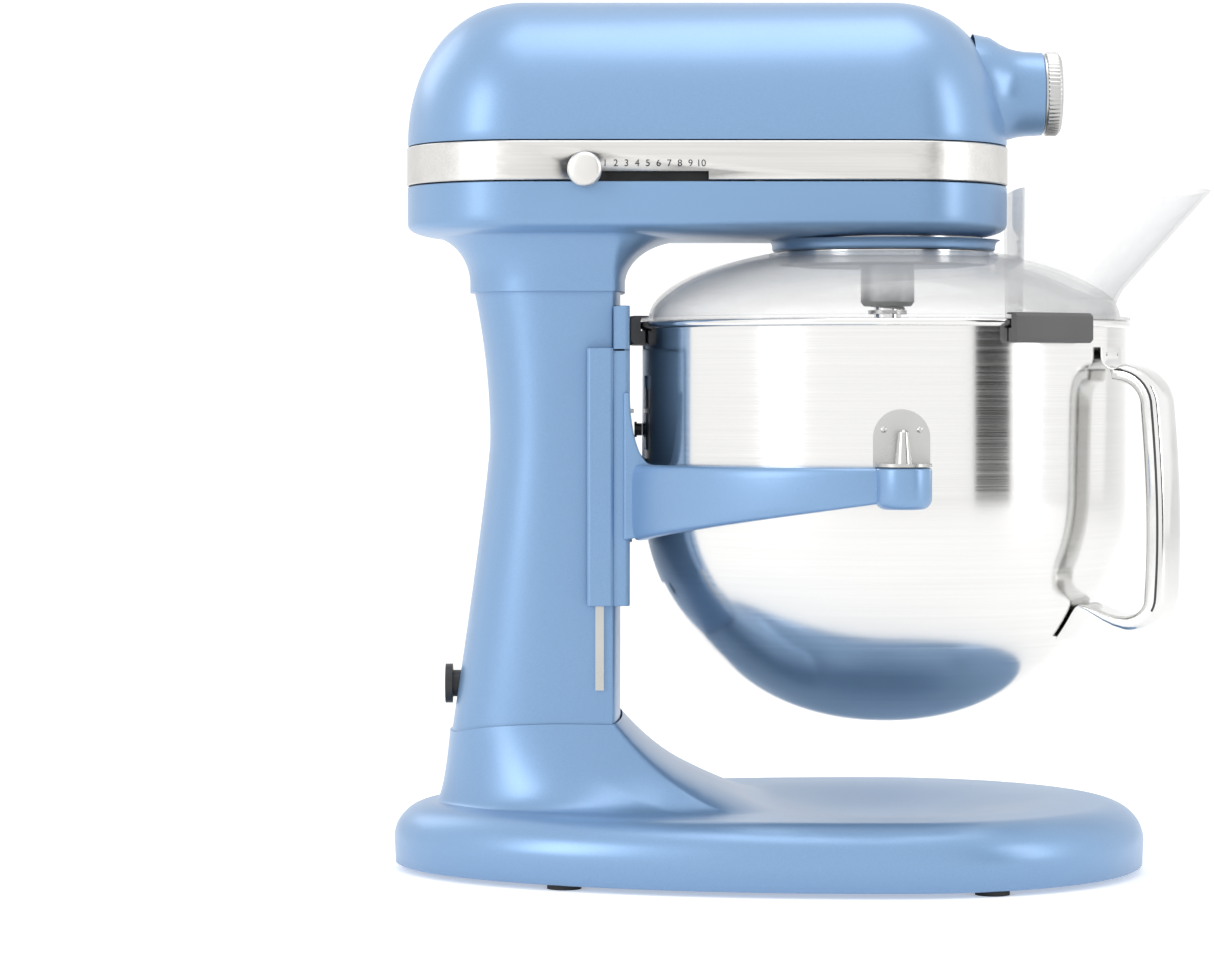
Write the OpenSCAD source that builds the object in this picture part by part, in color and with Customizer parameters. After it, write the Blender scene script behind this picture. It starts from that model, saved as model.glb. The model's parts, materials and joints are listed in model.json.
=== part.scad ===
// Bowl-lift stand mixer: base, column, head, drive train, lifting bowl support, bowl and pouring shield.
// X points to the front, Z up. The origin is the middle of the whole machine, on the surface it stands on.

/* [Bowl] */
// Outer radius of the bowl's straight wall
bowl_r = 117; // [100:1:135]
// Height of the bowl
bowl_h = 193; // [165:1:220]
// Thickness of the bowl's sheet
bowl_wall = 1.2; // [0.8:0.1:2]
// How far the bowl support travels
lift_travel = 36; // [32:1:46]
// How far the shield's chute reaches out past the bowl
chute_out = 44; // [36:1:54]

/* [Base] */
// Radius of the round front of the base, about the bowl's axis
base_front_r = 125; // [115:1:145]
// Length of the base behind the bowl's axis
base_back = 237; // [225:1:270]
// Height of the rim round the base's dish
base_rim_h = 33; // [28:1:40]
// Height of the seat that the column stands on
seat_h = 67; // [60:1:80]
// Thickness of the castings' walls
cast_wall = 5; // [3.5:0.5:6]

/* [Column] */
// Half width of the column
column_hw = 46; // [40:1:52]
// Depth of the column at its waist
column_depth = 63; // [58:1:72]

/* [Head] */
// Length of the head
head_len = 290; // [280:1:320]
// Half width of the head
head_hw = 65; // [62:1:76]
// Height of the upper housing
cover_h = 70.6; // [64:1:84]
// Height of the metal band round the head
band_h = 18.4; // [16:0.2:22]
// Travel of the speed knob
speed_travel = 55; // [40:1:60]

/* [Drive] */
// Radius of the beater shaft
beater_r = 6.35; // [5:0.05:7.5]
// Bore radius of the front attachment socket
socket_r = 15; // [12:0.5:15.5]
// Module of the planetary gears
gear_m = 1.5; // [1.25:0.05:1.6]

/* [Hidden] */

enamel = "#6d9fd2";
steel = "#c9c9c6";
dark = "#3b3c3e";
run_gap = 0.3;              // between bodies that pass each other
fit_gap = 0.05;             // radial, between a shaft and its bearing
touch = 0.01;               // keeps solids of one body from cutting into each other
ring_steps = 18;            // segments in each half of a plan outline
$fn = 64;

// Heights, from the floor up
foot_h = 2.5;
dish_depth = 9;
bowl_floor_gap = 11;        // left under the bowl when it is down
rim_z = base_rim_h - dish_depth + bowl_floor_gap + lift_travel + bowl_h;
column_top = rim_z + 14;
boss_z = rim_z + 34;        // lower edge of the planetary boss
belly_z = boss_z + 5;       // lowest line of the head between boss and neck
belly_h = 9;                // how far the belly curves up to the side walls
wall_z = belly_z + belly_h;
band_z = wall_z + 17.6;
cover_z = band_z + band_h;
hub_z = cover_z + 26.5;     // axis of the front attachment socket

// Plan positions
shield_r = bowl_r - 3;
chute_tip = shield_r + chute_out;
bowl_x = (base_back - chute_tip) / 2;
support_plate = 4;          // thickness of the bowl support's front plate
bowl_back_gap = 6.2;        // between the bowl and that plate
column_front = bowl_x - bowl_r - bowl_back_gap - support_plate - run_gap;
column_corner = 4.5;
head_nose = 59.5;           // from the bowl's axis to the head's front
head_front = bowl_x + head_nose;
head_back = head_front - head_len;
nose_round = 56.5;          // length of the head's rounded front
tail_round = 57;            // and of its rounded back
head_wall = 4;
boss_r = 54;

// ---------------------------------------------------------------- shared shapes

function spow(v, p) = sign(v) * pow(abs(v), p);

// Plan outline of two half superellipses joined by straight sides. Back half about xb, front half about xf.
function outline(xb, xf, back, front, hw, nb, nf, z) = concat(
    [for (i = [0:ring_steps]) let (t = 180 * i / ring_steps - 90)
        [xf + front * spow(cos(t), 2 / nf), hw * spow(sin(t), 2 / nf), z]],
    [for (i = [0:ring_steps]) let (t = 180 * i / ring_steps + 90)
        [xb + back * spow(cos(t), 2 / nb), hw * spow(sin(t), 2 / nb), z]]);

// Closed solid through a stack of outlines, capped at both ends. The first outline faces down.
module loft(rings) {
    n = len(rings[0]);
    last = (len(rings) - 1) * n;
    polyhedron(
        points = [for (ring = rings, p = ring) p],
        faces = concat(
            [[for (i = [0:n - 1]) i]],
            [[for (i = [n - 1:-1:0]) last + i]],
            [for (j = [0:len(rings) - 2], i = [0:n - 1], half = [0, 1])
                let (a = j * n + i, b = j * n + (i + 1) % n, c = b + n, d = a + n)
                half == 0 ? [a, d, c] : [a, c, b]]));
}

// Closed solid with the given section swept along a path in the XZ plane. Section points are [across, out].
module sweep_xz(path, section) {
    n = len(path);
    rings = [for (i = [0:n - 1])
        let (d = path[min(i + 1, n - 1)] - path[max(i - 1, 0)], u = d / norm(d))
        [for (s = section) [path[i][0] - u[1] * s[1], s[0], path[i][1] + u[0] * s[1]]]];
    loft(rings);
}

// Evaluates its children to one mesh: castings with free-form walls
module casting() {
    $fn = 24;
    resize([0, 0, 0]) union() children();
}

module tube(r_out, r_in, h) {
    difference() {
        cylinder(r = r_out, h = h);
        translate([0, 0, -1]) cylinder(r = r_in, h = h + 2);
    }
}

// Screw with a round head: shank up from z = 0, head below it
module screw(shank_r, shank_h, head_r, head_h) {
    cylinder(r = shank_r, h = shank_h);
    translate([0, 0, -head_h]) cylinder(r = head_r, h = head_h);
}

module along_x() rotate([0, 90, 0]) children();
module along_y() rotate([-90, 0, 0]) children();

// Involute gear outlines. psi is half the tooth's angle at the pitch circle.
pressure = 20;
flank_steps = 3;
function involute(a) = tan(a) * 180 / PI - a;
function tooth_half(r, pitch, psi) =
    psi + involute(pressure) - involute(acos(min(1, pitch * cos(pressure) / r)));
function gear_points(teeth, pitch, root, tip, psi) = [
    for (k = [0:teeth - 1], side = [-1, 1], i = [0:flank_steps])
        let (s = side < 0 ? i : flank_steps - i,
             r = root + (tip - root) * s / flank_steps,
             a = 360 * k / teeth + side * tooth_half(r, pitch, psi))
        [r * cos(a), r * sin(a)]];
// Half tooth angle for a tooth thinned by play, in mm at the pitch circle
function thin_tooth(teeth, pitch, play) = 90 / teeth - play / 2 / pitch * 180 / PI;

// ---------------------------------------------------------------- base

base_edge = 20;             // horizontal size of the rounded outer edge
base_edge_h = 18;
rim_foot_w = 22;            // width of the flat ring under the edge
base_flat = 8;              // short straight sides beside the bowl's axis
foot_r = 8;

function base_outline(inset, z) = outline(bowl_x - base_flat, bowl_x,
    base_back - base_flat - inset, base_front_r - inset, base_front_r - inset, 2, 2, z);

// Column section. Its back leans out below and above the waist.
waist_z = seat_h + (column_top - seat_h) * 0.66;
function column_back_at(z) = z < waist_z
    ? column_depth + 18.5 * pow((waist_z - z) / (waist_z - seat_h), 1.15)
    : column_depth + 7.5 * pow((z - waist_z) / (column_top - waist_z), 2);
back_centre = column_front - 30;
function column_outline(z, grow) = outline(back_centre, column_front - column_corner,
    column_back_at(z) - 30 + grow, column_corner + grow, column_hw + grow, 2.4, 2.4, z);

// Height of the base's upper surface: a collar that sweeps up to the seat, and a shallow dish under the bowl.
// The collar reaches further in front of the column than beside it. ahead is 1 straight in front.
collar_side = 27;
collar_front = 76;
collar_lip = 7.5;           // how far the collar rises above the seat, in front of the column
collar_lip_len = 30;
dish_r = 90;
function collar_z(d, span, ahead) = (seat_h - base_rim_h)
    * pow(max(0, 1 - d / min(span, collar_side + (collar_front - collar_side) * ahead)), 2.1 - 0.7 * ahead)
    + collar_lip * ahead * pow(max(0, 1 - d / collar_lip_len), 2);
function dish_z(x, y) = let (r = norm([x - bowl_x, y]))
    r < dish_r ? dish_depth * (1 + cos(180 * r / dish_r)) / 2 : 0;

// A ring of the upper surface, v from the seat (0) to the rim (1)
function top_ring(v, inset, seat_grow, drop) =
    let (seat = column_outline(seat_h, seat_grow), rim = base_outline(inset, 0))
    [for (i = [0:len(seat) - 1])
        let (a = seat[i], b = rim[i],
             span = norm([b[0] - a[0], b[1] - a[1]]),
             ahead = pow(max(0, (b[0] - a[0]) / span), 3),
             x = a[0] + (b[0] - a[0]) * v, y = a[1] + (b[1] - a[1]) * v)
        [x, y, base_rim_h + collar_z(v * span, span, ahead) - dish_z(x, y) - drop]];

bolt_spread_x = 17;
bolt_spread_y = 30;
bolt_centre = column_front - 34;
function bolt_places() = [for (sx = [-1, 1], sy = [-1, 1])
    [bolt_centre + sx * bolt_spread_x, sy * bolt_spread_y]];
bolt_r = 3;
bolt_clear = 0.2;

foot_inset = base_edge / 2 + 1.5;
function foot_places() = [for (a = [0, 68, -68, 133, -133])
    let (along = a > 90 || a < -90 ? base_back : base_front_r)
    [bowl_x + (along - foot_inset) * cos(a), (base_front_r - foot_inset) * sin(a)]];

module base() color(enamel) casting() {
    seat_plate = cast_wall + 1;
    difference() {
        loft(concat(
            // inner ceiling, out to the inner wall
            [for (v = [0:0.125:1]) top_ring(v, rim_foot_w + 4, -cast_wall, seat_plate)],
            [base_outline(rim_foot_w, foot_h)],
            // flat foot ring and rounded outer edge
            [base_outline(2, foot_h)],
            [for (t = [90:-15:0]) base_outline(base_edge * (1 - sin(t)),
                base_rim_h - base_edge_h * (1 - cos(t)))],
            // upper surface, in to the seat
            [for (v = [0.96, 0.9, 0.82, 0.74, 0.66, 0.58, 0.5, 0.42, 0.34, 0.26, 0.19, 0.13, 0.08, 0.04, 0])
                top_ring(v, base_edge, 1, 0)],
            [column_outline(seat_h, run_gap)]));
        for (p = bolt_places())
            translate([p[0], p[1], seat_h - 2 * seat_plate]) cylinder(r = bolt_r + bolt_clear, h = 4 * seat_plate);
        for (p = foot_places())
            translate([p[0], p[1], -1]) cylinder(r = foot_r + bolt_clear, h = foot_h + 3);
        translate([bolt_centre, 0, seat_h - 2 * seat_plate]) cylinder(r = 9, h = 4 * seat_plate);
    }
}

module rubber_feet() color(dark) for (p = foot_places())
    translate([p[0], p[1], 0]) {
        cylinder(r = foot_r, h = foot_h + 2 - touch);
    }

// ---------------------------------------------------------------- column

column_plate = 9;           // thickness of the column's closed ends
axle_r = 5;
axle_x = column_front - 22;
crank_len = lift_travel / sqrt(2);
axle_z = seat_h + 83;
bushing_r = 8;
yoke_y = 12;                // middle of the yoke's plate
yoke_t = 4;
yoke_z = axle_z + crank_len / sqrt(2);
gland_r = 6.5;
gland_z = seat_h + 22;

module column() color(enamel) casting() difference() {
    loft([for (i = [0:12]) let (z = seat_h + touch + (column_top - seat_h - touch) * i / 12) column_outline(z, 0)]);
    loft([for (i = [0:8]) let (z = seat_h + column_plate + (column_top - seat_h - 2 * column_plate) * i / 8)
        column_outline(z, -cast_wall)]);
    // bolt and wire holes in both ends
    for (p = bolt_places())
        translate([p[0], p[1], seat_h - 1]) cylinder(r = bolt_r + bolt_clear, h = column_top);
    translate([bolt_centre, 0, seat_h - 1]) cylinder(r = 9, h = column_top);
    // lever bushing, through one side
    translate([axle_x, column_hw - 2 * cast_wall, axle_z])
        along_y() cylinder(r = bushing_r + bolt_clear, h = 3 * cast_wall);
    // slot in the front for the lift yoke
    translate([column_front - 2 * cast_wall, yoke_y - yoke_t, yoke_z - lift_travel - 14])
        cube([3 * cast_wall, 2 * yoke_t, lift_travel + 28]);
    // cord gland
    translate([column_front - column_back_at(gland_z) - 5, 0, gland_z])
        along_x() cylinder(r = gland_r + bolt_clear, h = 4 * cast_wall);
}

rail_t = 1.5;
rail_w = 4;
rail_x = column_front - 10;
rail_low = seat_h + 22;
module guide_rails() color(steel) for (s = [-1, 1])
    translate([rail_x, s * (column_hw + touch + rail_t / 2), rail_low])
        translate([-rail_w / 2, -rail_t / 2, 0]) cube([rail_w, rail_t, support_top - 6 - rail_low]);

module column_bolts() color(steel) for (p = bolt_places())
    translate([p[0], p[1], seat_h - cast_wall - 1 - touch]) screw(bolt_r, cast_wall + column_plate, 5, 4);

module lever_bushing() color("#b08d57")
    translate([axle_x, column_hw - cast_wall - 1, axle_z]) along_y() {
        tube(bushing_r, axle_r + fit_gap, cast_wall + 2.5);
    }

module cord_gland() color(dark)
    translate([column_front - column_back_at(gland_z), 0, gland_z]) {
        translate([-4.5, 0, 0]) along_x() tube(gland_r, 3.6, cast_wall + 7);
        translate([-6.5, 0, 0]) along_x() tube(gland_r + 3, 3.6, 3.5);
    }

// ---------------------------------------------------------------- head

neck_lip = 2.2;             // how far the neck overhangs the column
neck_gap = 0.4;
neck_z = column_top + neck_gap - 0.4;

// Neck section, t from the column (0) to the head (1): it flares like a quarter ellipse
function flare(t) = 1 - sqrt(max(0, 1 - t * t));
function neck_outline(t, inset) =
    let (z = neck_z + (wall_z + 2 - neck_z) * t, f = flare(t),
         back = column_back_at(column_top) - 30 + neck_lip + f * 26)
    outline(back_centre, column_front - column_corner, back - inset,
        column_corner + neck_lip + f * 30 - inset, column_hw + neck_lip + 2 + f * (head_hw - column_hw - 7) - inset,
        2.4, 2.4, z);

// Head outlines: the belly below, the side walls, the cover above
function head_ring(scale_x, hw, z) = outline(head_back + tail_round, head_front - nose_round,
    tail_round * scale_x, nose_round * scale_x, hw, 2, 2, z);
function inset_ring(inset, z) = outline(head_back + tail_round, head_front - nose_round,
    tail_round - inset, nose_round - inset, head_hw - inset, 2, 2, z);
cover_power = 2 / 2.15;
belly_power = 2 / 3;
function cover_ring(t, inset) = let (c = pow(cos(t), cover_power))
    outline(head_back + tail_round, head_front - nose_round, (tail_round - inset) * c, (nose_round - inset) * c,
        (head_hw - inset) * c, 2, 2, cover_z + (cover_h - inset) * pow(sin(t), cover_power));
function belly_ring(t, inset) = let (c = pow(cos(t), belly_power))
    outline(head_back + tail_round, head_front - nose_round, (tail_round - inset) * c, (nose_round - inset) * c,
        (head_hw - inset) * c, 2, 2, wall_z + inset - belly_h * pow(sin(t), belly_power));

ring_gear_teeth = 52;
pinion_teeth = 15;
ring_pitch = ring_gear_teeth * gear_m / 2;
pinion_pitch = pinion_teeth * gear_m / 2;
beater_offset = ring_pitch - pinion_pitch;
ring_gear_r = min(ring_pitch + 8, boss_r - 5);
ring_gear_z = boss_z + 2;
ring_gear_h = 13;
deck_z = ring_gear_z + ring_gear_h;     // gearcase floor

module lower_housing() color(enamel) casting() difference() {
    union() {
        loft([for (i = [0:10]) neck_outline(i / 10, 0)]);
        loft(concat([for (t = [84, 70, 56, 42, 28, 14]) belly_ring(t, 0)],
            [inset_ring(0, wall_z), inset_ring(0, band_z)]));
        translate([bowl_x, 0, boss_z]) cylinder(r = boss_r, h = deck_z - boss_z, $fn = 64);
    }
    loft(concat([for (t = [84, 66, 48, 30, 14]) belly_ring(t, head_wall)],
        [inset_ring(head_wall, wall_z + head_wall), inset_ring(head_wall, band_z + 1)]));
    // inside of the neck, above its floor
    loft([for (i = [2:10]) neck_outline(i / 10, cast_wall)]);
    translate([bowl_x, 0, boss_z - 1]) cylinder(r = ring_gear_r + bolt_clear, h = deck_z - boss_z + 2, $fn = 64);
    for (p = bolt_places())
        translate([p[0], p[1], neck_z - 1]) cylinder(r = bolt_r + bolt_clear, h = 12);
    translate([bolt_centre, 0, neck_z - 1]) cylinder(r = 9, h = 12);
}

// Top of the neck's floor: where the neck's hollow starts
neck_floor_z = neck_z + (wall_z + 2 - neck_z) * 0.2;
module neck_bolts() color(steel) for (p = bolt_places())
    translate([p[0], p[1], neck_floor_z + touch]) rotate([180, 0, 0])
        screw(bolt_r, neck_floor_z - neck_z + column_plate - 1, 5, 4);

front_wall_x = bowl_x + 30;             // front wall of the gearcase
case_wall = 8;
hub_end = head_front + 17.5;            // end of the attachment barrel
hub_spindle_r = 9;
hub_square = 9.6;                       // square socket that drives an attachment
hub_spindle_x = front_wall_x + case_wall + 4;
hub_spindle_len = 17;
sleeve_back = hub_spindle_x + hub_spindle_len + 1;
barrel_r = socket_r + 5;
sleeve_t = 2;
knob_x = hub_end - 11;
stud_r = 2.5;

// Screw posts that join the cover to the lower housing
screw_places = [[head_back + 42, 38], [head_back + 42, -38], [head_front - 122, 53], [head_front - 122, -53]];

module upper_housing() color(enamel) casting() difference() {
    union() {
        loft([for (t = [0, 9, 18, 28, 38, 48, 58, 67, 75, 82, 87]) cover_ring(t, 0)]);
        translate([head_front - 34, 0, hub_z]) along_x() {
            cylinder(r1 = barrel_r + 3, r2 = barrel_r, h = 30, $fn = 48);
            cylinder(r = barrel_r, h = sleeve_back - touch - head_front + 34, $fn = 48);
        }
    }
    difference() {
        loft(concat([inset_ring(head_wall, cover_z - 1)],
            [for (t = [0, 14, 28, 42, 56, 68, 78, 86]) cover_ring(t, head_wall)]));
        // metal left round the back of the barrel
        translate([head_front - 15, 0, hub_z]) along_x() cylinder(r = barrel_r, h = 40);
    }
    translate([hub_spindle_x - 2, 0, hub_z]) along_x() cylinder(r = socket_r + sleeve_t + bolt_clear, h = 60, $fn = 48);
}

band_t = 3.5;
knob_start = head_back + 86;            // knob's place at its off end
stem_w = 5;
stem_h = 3;
stem_z = band_z + 0.6;
slot_play = 0.7;
module trim_band() color(steel) difference() {
    translate([0, 0, band_z + touch]) linear_extrude(band_h - 2 * touch) difference() {
        polygon([for (p = inset_ring(-0.4, 0)) [p[0], p[1]]]);
        polygon([for (p = inset_ring(band_t, 0)) [p[0], p[1]]]);
    }
    // slot along the lower edge for the speed knob's stem
    translate([knob_start - stem_w / 2 - slot_play, -head_hw - 5, band_z - 1])
        cube([speed_travel + stem_w + 2 * slot_play, 15, stem_z + stem_h + 0.5 - band_z + 1]);
}

module cover_screws() color(steel) for (p = screw_places)
    translate([p[0], p[1], wall_z + 8]) screw(2, band_h + 16, 4, 3);

// Speed control: a track behind the band, and a carriage that carries the knob
track_y = head_hw - 9.5;
track_t = 2;
carriage_t = 3.4;
carriage_w = 20;
track_low = band_z - 7.6;
track_h = 24;
track_lip = 2;
module speed_track() color(dark) translate([knob_start - 14, 0, track_low]) {
    translate([0, -track_y, 0]) cube([speed_travel + 28, track_t, track_h]);
    for (z = [0, track_h - track_lip])
        translate([0, -track_y - carriage_t - 1, z])
            cube([speed_travel + 28, carriage_t + 1 + touch, track_lip]);
}

module speed_carriage() color(dark) {
    gap = run_gap;
    translate([knob_start - carriage_w / 2, -track_y - gap - carriage_t, track_low + track_lip + gap])
        cube([carriage_w, carriage_t, track_h - 2 * track_lip - 2 * gap]);
    translate([knob_start - stem_w / 2, -head_hw - 3, stem_z])
        cube([stem_w, head_hw + 3 - track_y - gap - carriage_t / 2, stem_h]);
}

speed_knob_r = 8.2;
speed_knob_z = stem_z + 4;
module speed_knob() color(steel) translate([knob_start, 0, speed_knob_z]) {
    rotate([90, 0, 0]) translate([0, 0, head_hw + 3 + touch]) {
        cylinder(r = speed_knob_r, h = 5);
        translate([0, 0, 5]) cylinder(r1 = speed_knob_r, r2 = speed_knob_r - 2, h = 2);
    }
}

// End of the attachment barrel, with a spigot that seats in the upper housing
spigot_h = 6;
module hub_sleeve() color(enamel) difference() {
    translate([sleeve_back, 0, hub_z]) along_x() {
        tube(barrel_r, socket_r, hub_end - sleeve_back);
        translate([0, 0, -spigot_h]) tube(socket_r + sleeve_t, socket_r + 1, spigot_h + touch);
    }
    translate([knob_x, 0, hub_z]) along_y() cylinder(r = stud_r + 0.5, h = 40);
}

module hub_cap() color(steel) translate([hub_end + run_gap, 0, hub_z]) along_x() {
    cylinder(r = barrel_r - 0.6, h = 1);
    translate([0, 0, 1]) cylinder(r = barrel_r + 0.2, h = 5.5);
    translate([0, 0, 6.5]) cylinder(r1 = barrel_r + 0.2, r2 = barrel_r - 1.6, h = 1.5);
}

knob_lift = 1;                          // from the barrel to the thumbscrew's head
module hub_stud() color(steel)
    translate([knob_x, socket_r + 0.4, hub_z]) along_y() cylinder(r = stud_r, h = barrel_r - socket_r + 6);
module hub_knob() color(dark)
    translate([knob_x, barrel_r + knob_lift, hub_z]) along_y() difference() {
        union() {
            cylinder(r = 6, h = 4);
            translate([0, 0, 4]) for (a = [0:45:315]) rotate(a) translate([7, 0, 0]) cylinder(r = 3, h = 11);
            translate([0, 0, 4]) cylinder(r = 8, h = 12);
        }
        translate([0, 0, -1]) cylinder(r = stud_r, h = 6.4);
    }

// ---------------------------------------------------------------- drive train

shaft_r = 6;
motor_y = 24.5;
motor_z = deck_z + 28;
wheel_teeth = 24;
wheel_pitch = 18;
wheel_m = 2 * wheel_pitch / wheel_teeth;
worm_lead = PI * wheel_m;
wheel_h = 8;
worm_pitch = motor_y - wheel_pitch;
bevel_teeth = 18;
bevel_pitch = 15.75;
bevel_face = 7;
low_bearing_r = 14;
top_bearing_r = 12;
top_bearing_z = motor_z + 6;
bearing_h = 6;
back_wall_x = bowl_x - 40;
motor_bearing_r = 11;
motor_shaft_r = 4;
front_journal_r = 9;

module gearcase() color("#a7a9ab") difference() {
    union() {
        translate([bowl_x, 0, deck_z + touch]) cylinder(r = boss_r - 4, h = 5);
        // walls that hold the motor's front bearings, with the front one carried up to the hub's bearing
        translate([back_wall_x, -20, deck_z + 2]) cube([case_wall, 62, 36]);
        translate([front_wall_x, 0, deck_z + 2]) rotate([90, 0, 90]) linear_extrude(case_wall)
            polygon([[-20, 0], [36, 0], [36, 36], [18, 40], [18, hub_z - deck_z + 14],
                [-18, hub_z - deck_z + 14], [-18, 40], [-20, 36]]);
        // bridge that holds the main shaft's top bearing
        translate([back_wall_x + 2, -15, top_bearing_z]) cube([front_wall_x - back_wall_x, 30, bearing_h]);
    }
    translate([bowl_x, 0, deck_z - 1]) cylinder(r = low_bearing_r + touch, h = 9);
    translate([bowl_x, 0, top_bearing_z - 1]) cylinder(r = top_bearing_r + touch, h = bearing_h + 2);
    translate([back_wall_x - 1, motor_y, motor_z]) along_x() cylinder(r = motor_bearing_r + touch, h = case_wall + 2);
    translate([front_wall_x - 1, motor_y, motor_z]) along_x() cylinder(r = front_journal_r + touch, h = case_wall + 2);
    translate([front_wall_x - 1, 0, hub_z]) along_x() cylinder(r = hub_bearing_r + touch, h = case_wall + 2);
}

ring_gear_root = ring_pitch + 1.25 * gear_m;
ring_gear_tip = ring_pitch - 0.9 * gear_m;
module ring_gear() color(steel) translate([bowl_x, 0, ring_gear_z]) difference() {
    cylinder(r = ring_gear_r, h = ring_gear_h);
    translate([0, 0, -1]) linear_extrude(ring_gear_h + 2)
        polygon(gear_points(ring_gear_teeth, ring_pitch, ring_gear_tip, ring_gear_root,
            thin_tooth(ring_gear_teeth, ring_pitch, -0.15)));
}

module shaft_bearings() color(steel) translate([bowl_x, 0, 0]) {
    translate([0, 0, deck_z + touch]) tube(low_bearing_r, shaft_r + fit_gap, 5);
    translate([0, 0, top_bearing_z]) tube(top_bearing_r, shaft_r + fit_gap, bearing_h);
}

hub_bearing_r = 13;
hub_shaft_r = 5;
module hub_bearing() color(steel)
    translate([front_wall_x, 0, hub_z]) along_x() tube(hub_bearing_r, hub_shaft_r + fit_gap, case_wall);

stator_r = 31;
rotor_r = 19;
air_gap = 0.6;
stator_x = head_back + 61;
stator_len = 52;
end_plate_x = stator_x - 12;
module motor_stator() color("#8b5a33") translate([stator_x, motor_y, motor_z]) along_x() {
    tube(stator_r, rotor_r + air_gap, stator_len);
}
module motor_end_plate() color("#a7a9ab") translate([end_plate_x, motor_y, motor_z]) along_x() {
    difference() {
        union() {
            tube(stator_r - 2, motor_bearing_r + touch, 6);
            for (a = [45:90:315]) rotate(a) translate([25.5, 0, 5]) cylinder(r = 3, h = 7 - touch);
        }
    }
}
module motor_bearings() color(steel) {
    translate([end_plate_x, motor_y, motor_z]) along_x() tube(motor_bearing_r, motor_shaft_r + fit_gap, 6);
    translate([back_wall_x, motor_y, motor_z]) along_x() tube(motor_bearing_r, motor_shaft_r + fit_gap, case_wall);
    translate([front_wall_x, motor_y, motor_z]) along_x() tube(front_journal_r, motor_shaft_r + fit_gap, case_wall);
}
commutator_x = stator_x + stator_len + 6;
commutator_r = 10;
module brush_holders() color("#b08d57") for (s = [-1, 1])
    translate([commutator_x + 3, motor_y - 4, motor_z + s * (commutator_r + 0.4)])
        translate([0, 0, s > 0 ? 0 : -12]) cube([9, 8, 12]);

module control_board() color("#2f6b46") translate([head_back + 70, -34, cover_z + 4]) {
    cube([74, 1.6, 36]);
    translate([8, 1.6 - touch, 6]) cube([18, 9, 14]);
    translate([34, 1.6 - touch, 5]) cube([10, 12, 24]);
    translate([54, 8, 18]) rotate([90, 0, 0]) cylinder(r = 6, h = 8 - 1.6 + touch);
}

fan_x = commutator_x + 22;
worm_half = 16;
// Worm thread: a trapezoid section carried round a helix about the X axis
worm_turn_steps = 16;
thread_turns = 6;
worm_root_r = worm_pitch - 1.25 * wheel_m + touch;
worm_tip_r = worm_pitch + wheel_m;
worm_start = bowl_x - worm_lead * (thread_turns / 2);
thread_foot = 1.35;         // half widths of the thread
thread_crest = 0.45;
module worm_thread() {
    section = [[-thread_foot, worm_root_r - 0.6], [thread_foot, worm_root_r - 0.6],
        [thread_crest, worm_tip_r], [-thread_crest, worm_tip_r]];
    steps = thread_turns * worm_turn_steps;
    // the helix passes x = bowl_x on the side that faces the wheel
    loft([for (i = [0:steps]) let (turn = i / worm_turn_steps, a = 180 + 360 * turn)
        [for (s = section) [worm_start + worm_lead * turn + s[0], s[1] * cos(a), s[1] * sin(a)]]]);
}
module motor_shaft() color(steel) translate([0, motor_y, motor_z]) {
    translate([end_plate_x - 4, 0, 0]) along_x() cylinder(r = motor_shaft_r, h = bowl_x - worm_half - end_plate_x + 5);
    translate([bowl_x + worm_half - 1, 0, 0])
        along_x() cylinder(r = motor_shaft_r, h = front_wall_x + case_wall - bowl_x - worm_half + 3);
    casting() {
        translate([bowl_x - worm_half, 0, 0]) along_x() cylinder(r = worm_root_r, h = 2 * worm_half);
        worm_thread();
    }
}
module rotor_core() color("#777a7d") translate([stator_x + 1, motor_y, motor_z]) along_x() difference() {
    tube(rotor_r, motor_shaft_r, stator_len - 2);
    for (a = [0:30:330]) rotate(a) translate([rotor_r, 0, -1]) cylinder(r = 1.2, h = stator_len);
}
module commutator() color("#b87333") translate([commutator_x, motor_y, motor_z]) along_x()
    tube(commutator_r, motor_shaft_r, 15);
fan_r = 24;
module cooling_fan() color(dark) translate([fan_x, motor_y, motor_z]) along_x() {
    difference() {
        union() {
            cylinder(r = 9, h = 10);
            cylinder(r = fan_r, h = 1.5);
            for (a = [0:30:330]) rotate(a) translate([8, -0.8, 1]) cube([fan_r - 9, 1.6, 9]);
        }
        translate([0, 0, -1]) cylinder(r = motor_shaft_r, h = 12);
    }
}

// Planet carrier: a shallow dish that turns under the boss, with the beater shaft's own boss to one side
carrier_gap = 0.4;
carrier_top = boss_z - carrier_gap;
carrier_r = boss_r - 4;
carrier_h = 7;
beater_boss_r = beater_r + 6.45;
beater_boss_h = 26.5;
spring_room_r = beater_r + 3.2;
spring_room_h = 13;
module planet_carrier() color("#b9bbbd") translate([bowl_x, 0, carrier_top]) difference() {
    union() {
        translate([0, 0, -carrier_h]) cylinder(r1 = carrier_r - 9, r2 = carrier_r, h = carrier_h - 2);
        translate([0, 0, -2.01]) cylinder(r = carrier_r, h = 2.01);
        translate([0, -beater_offset, -beater_boss_h]) {
            cylinder(r1 = beater_boss_r - 1.5, r2 = beater_boss_r, h = 2);
            translate([0, 0, 2]) cylinder(r = beater_boss_r, h = beater_boss_h - 2);
        }
    }
    translate([0, 0, -carrier_h - 1]) cylinder(r = shaft_r, h = carrier_h + 2);
    translate([0, -beater_offset, -beater_boss_h - 1]) cylinder(r = beater_r + fit_gap, h = beater_boss_h + 2);
    translate([0, -beater_offset, -beater_boss_h - 1]) cylinder(r = spring_room_r, h = spring_room_h + 1);
}
module drip_ring() color(steel) translate([bowl_x, 0, carrier_top - 6])
    tube(carrier_r + 1.2, carrier_r + touch, 6);

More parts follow.
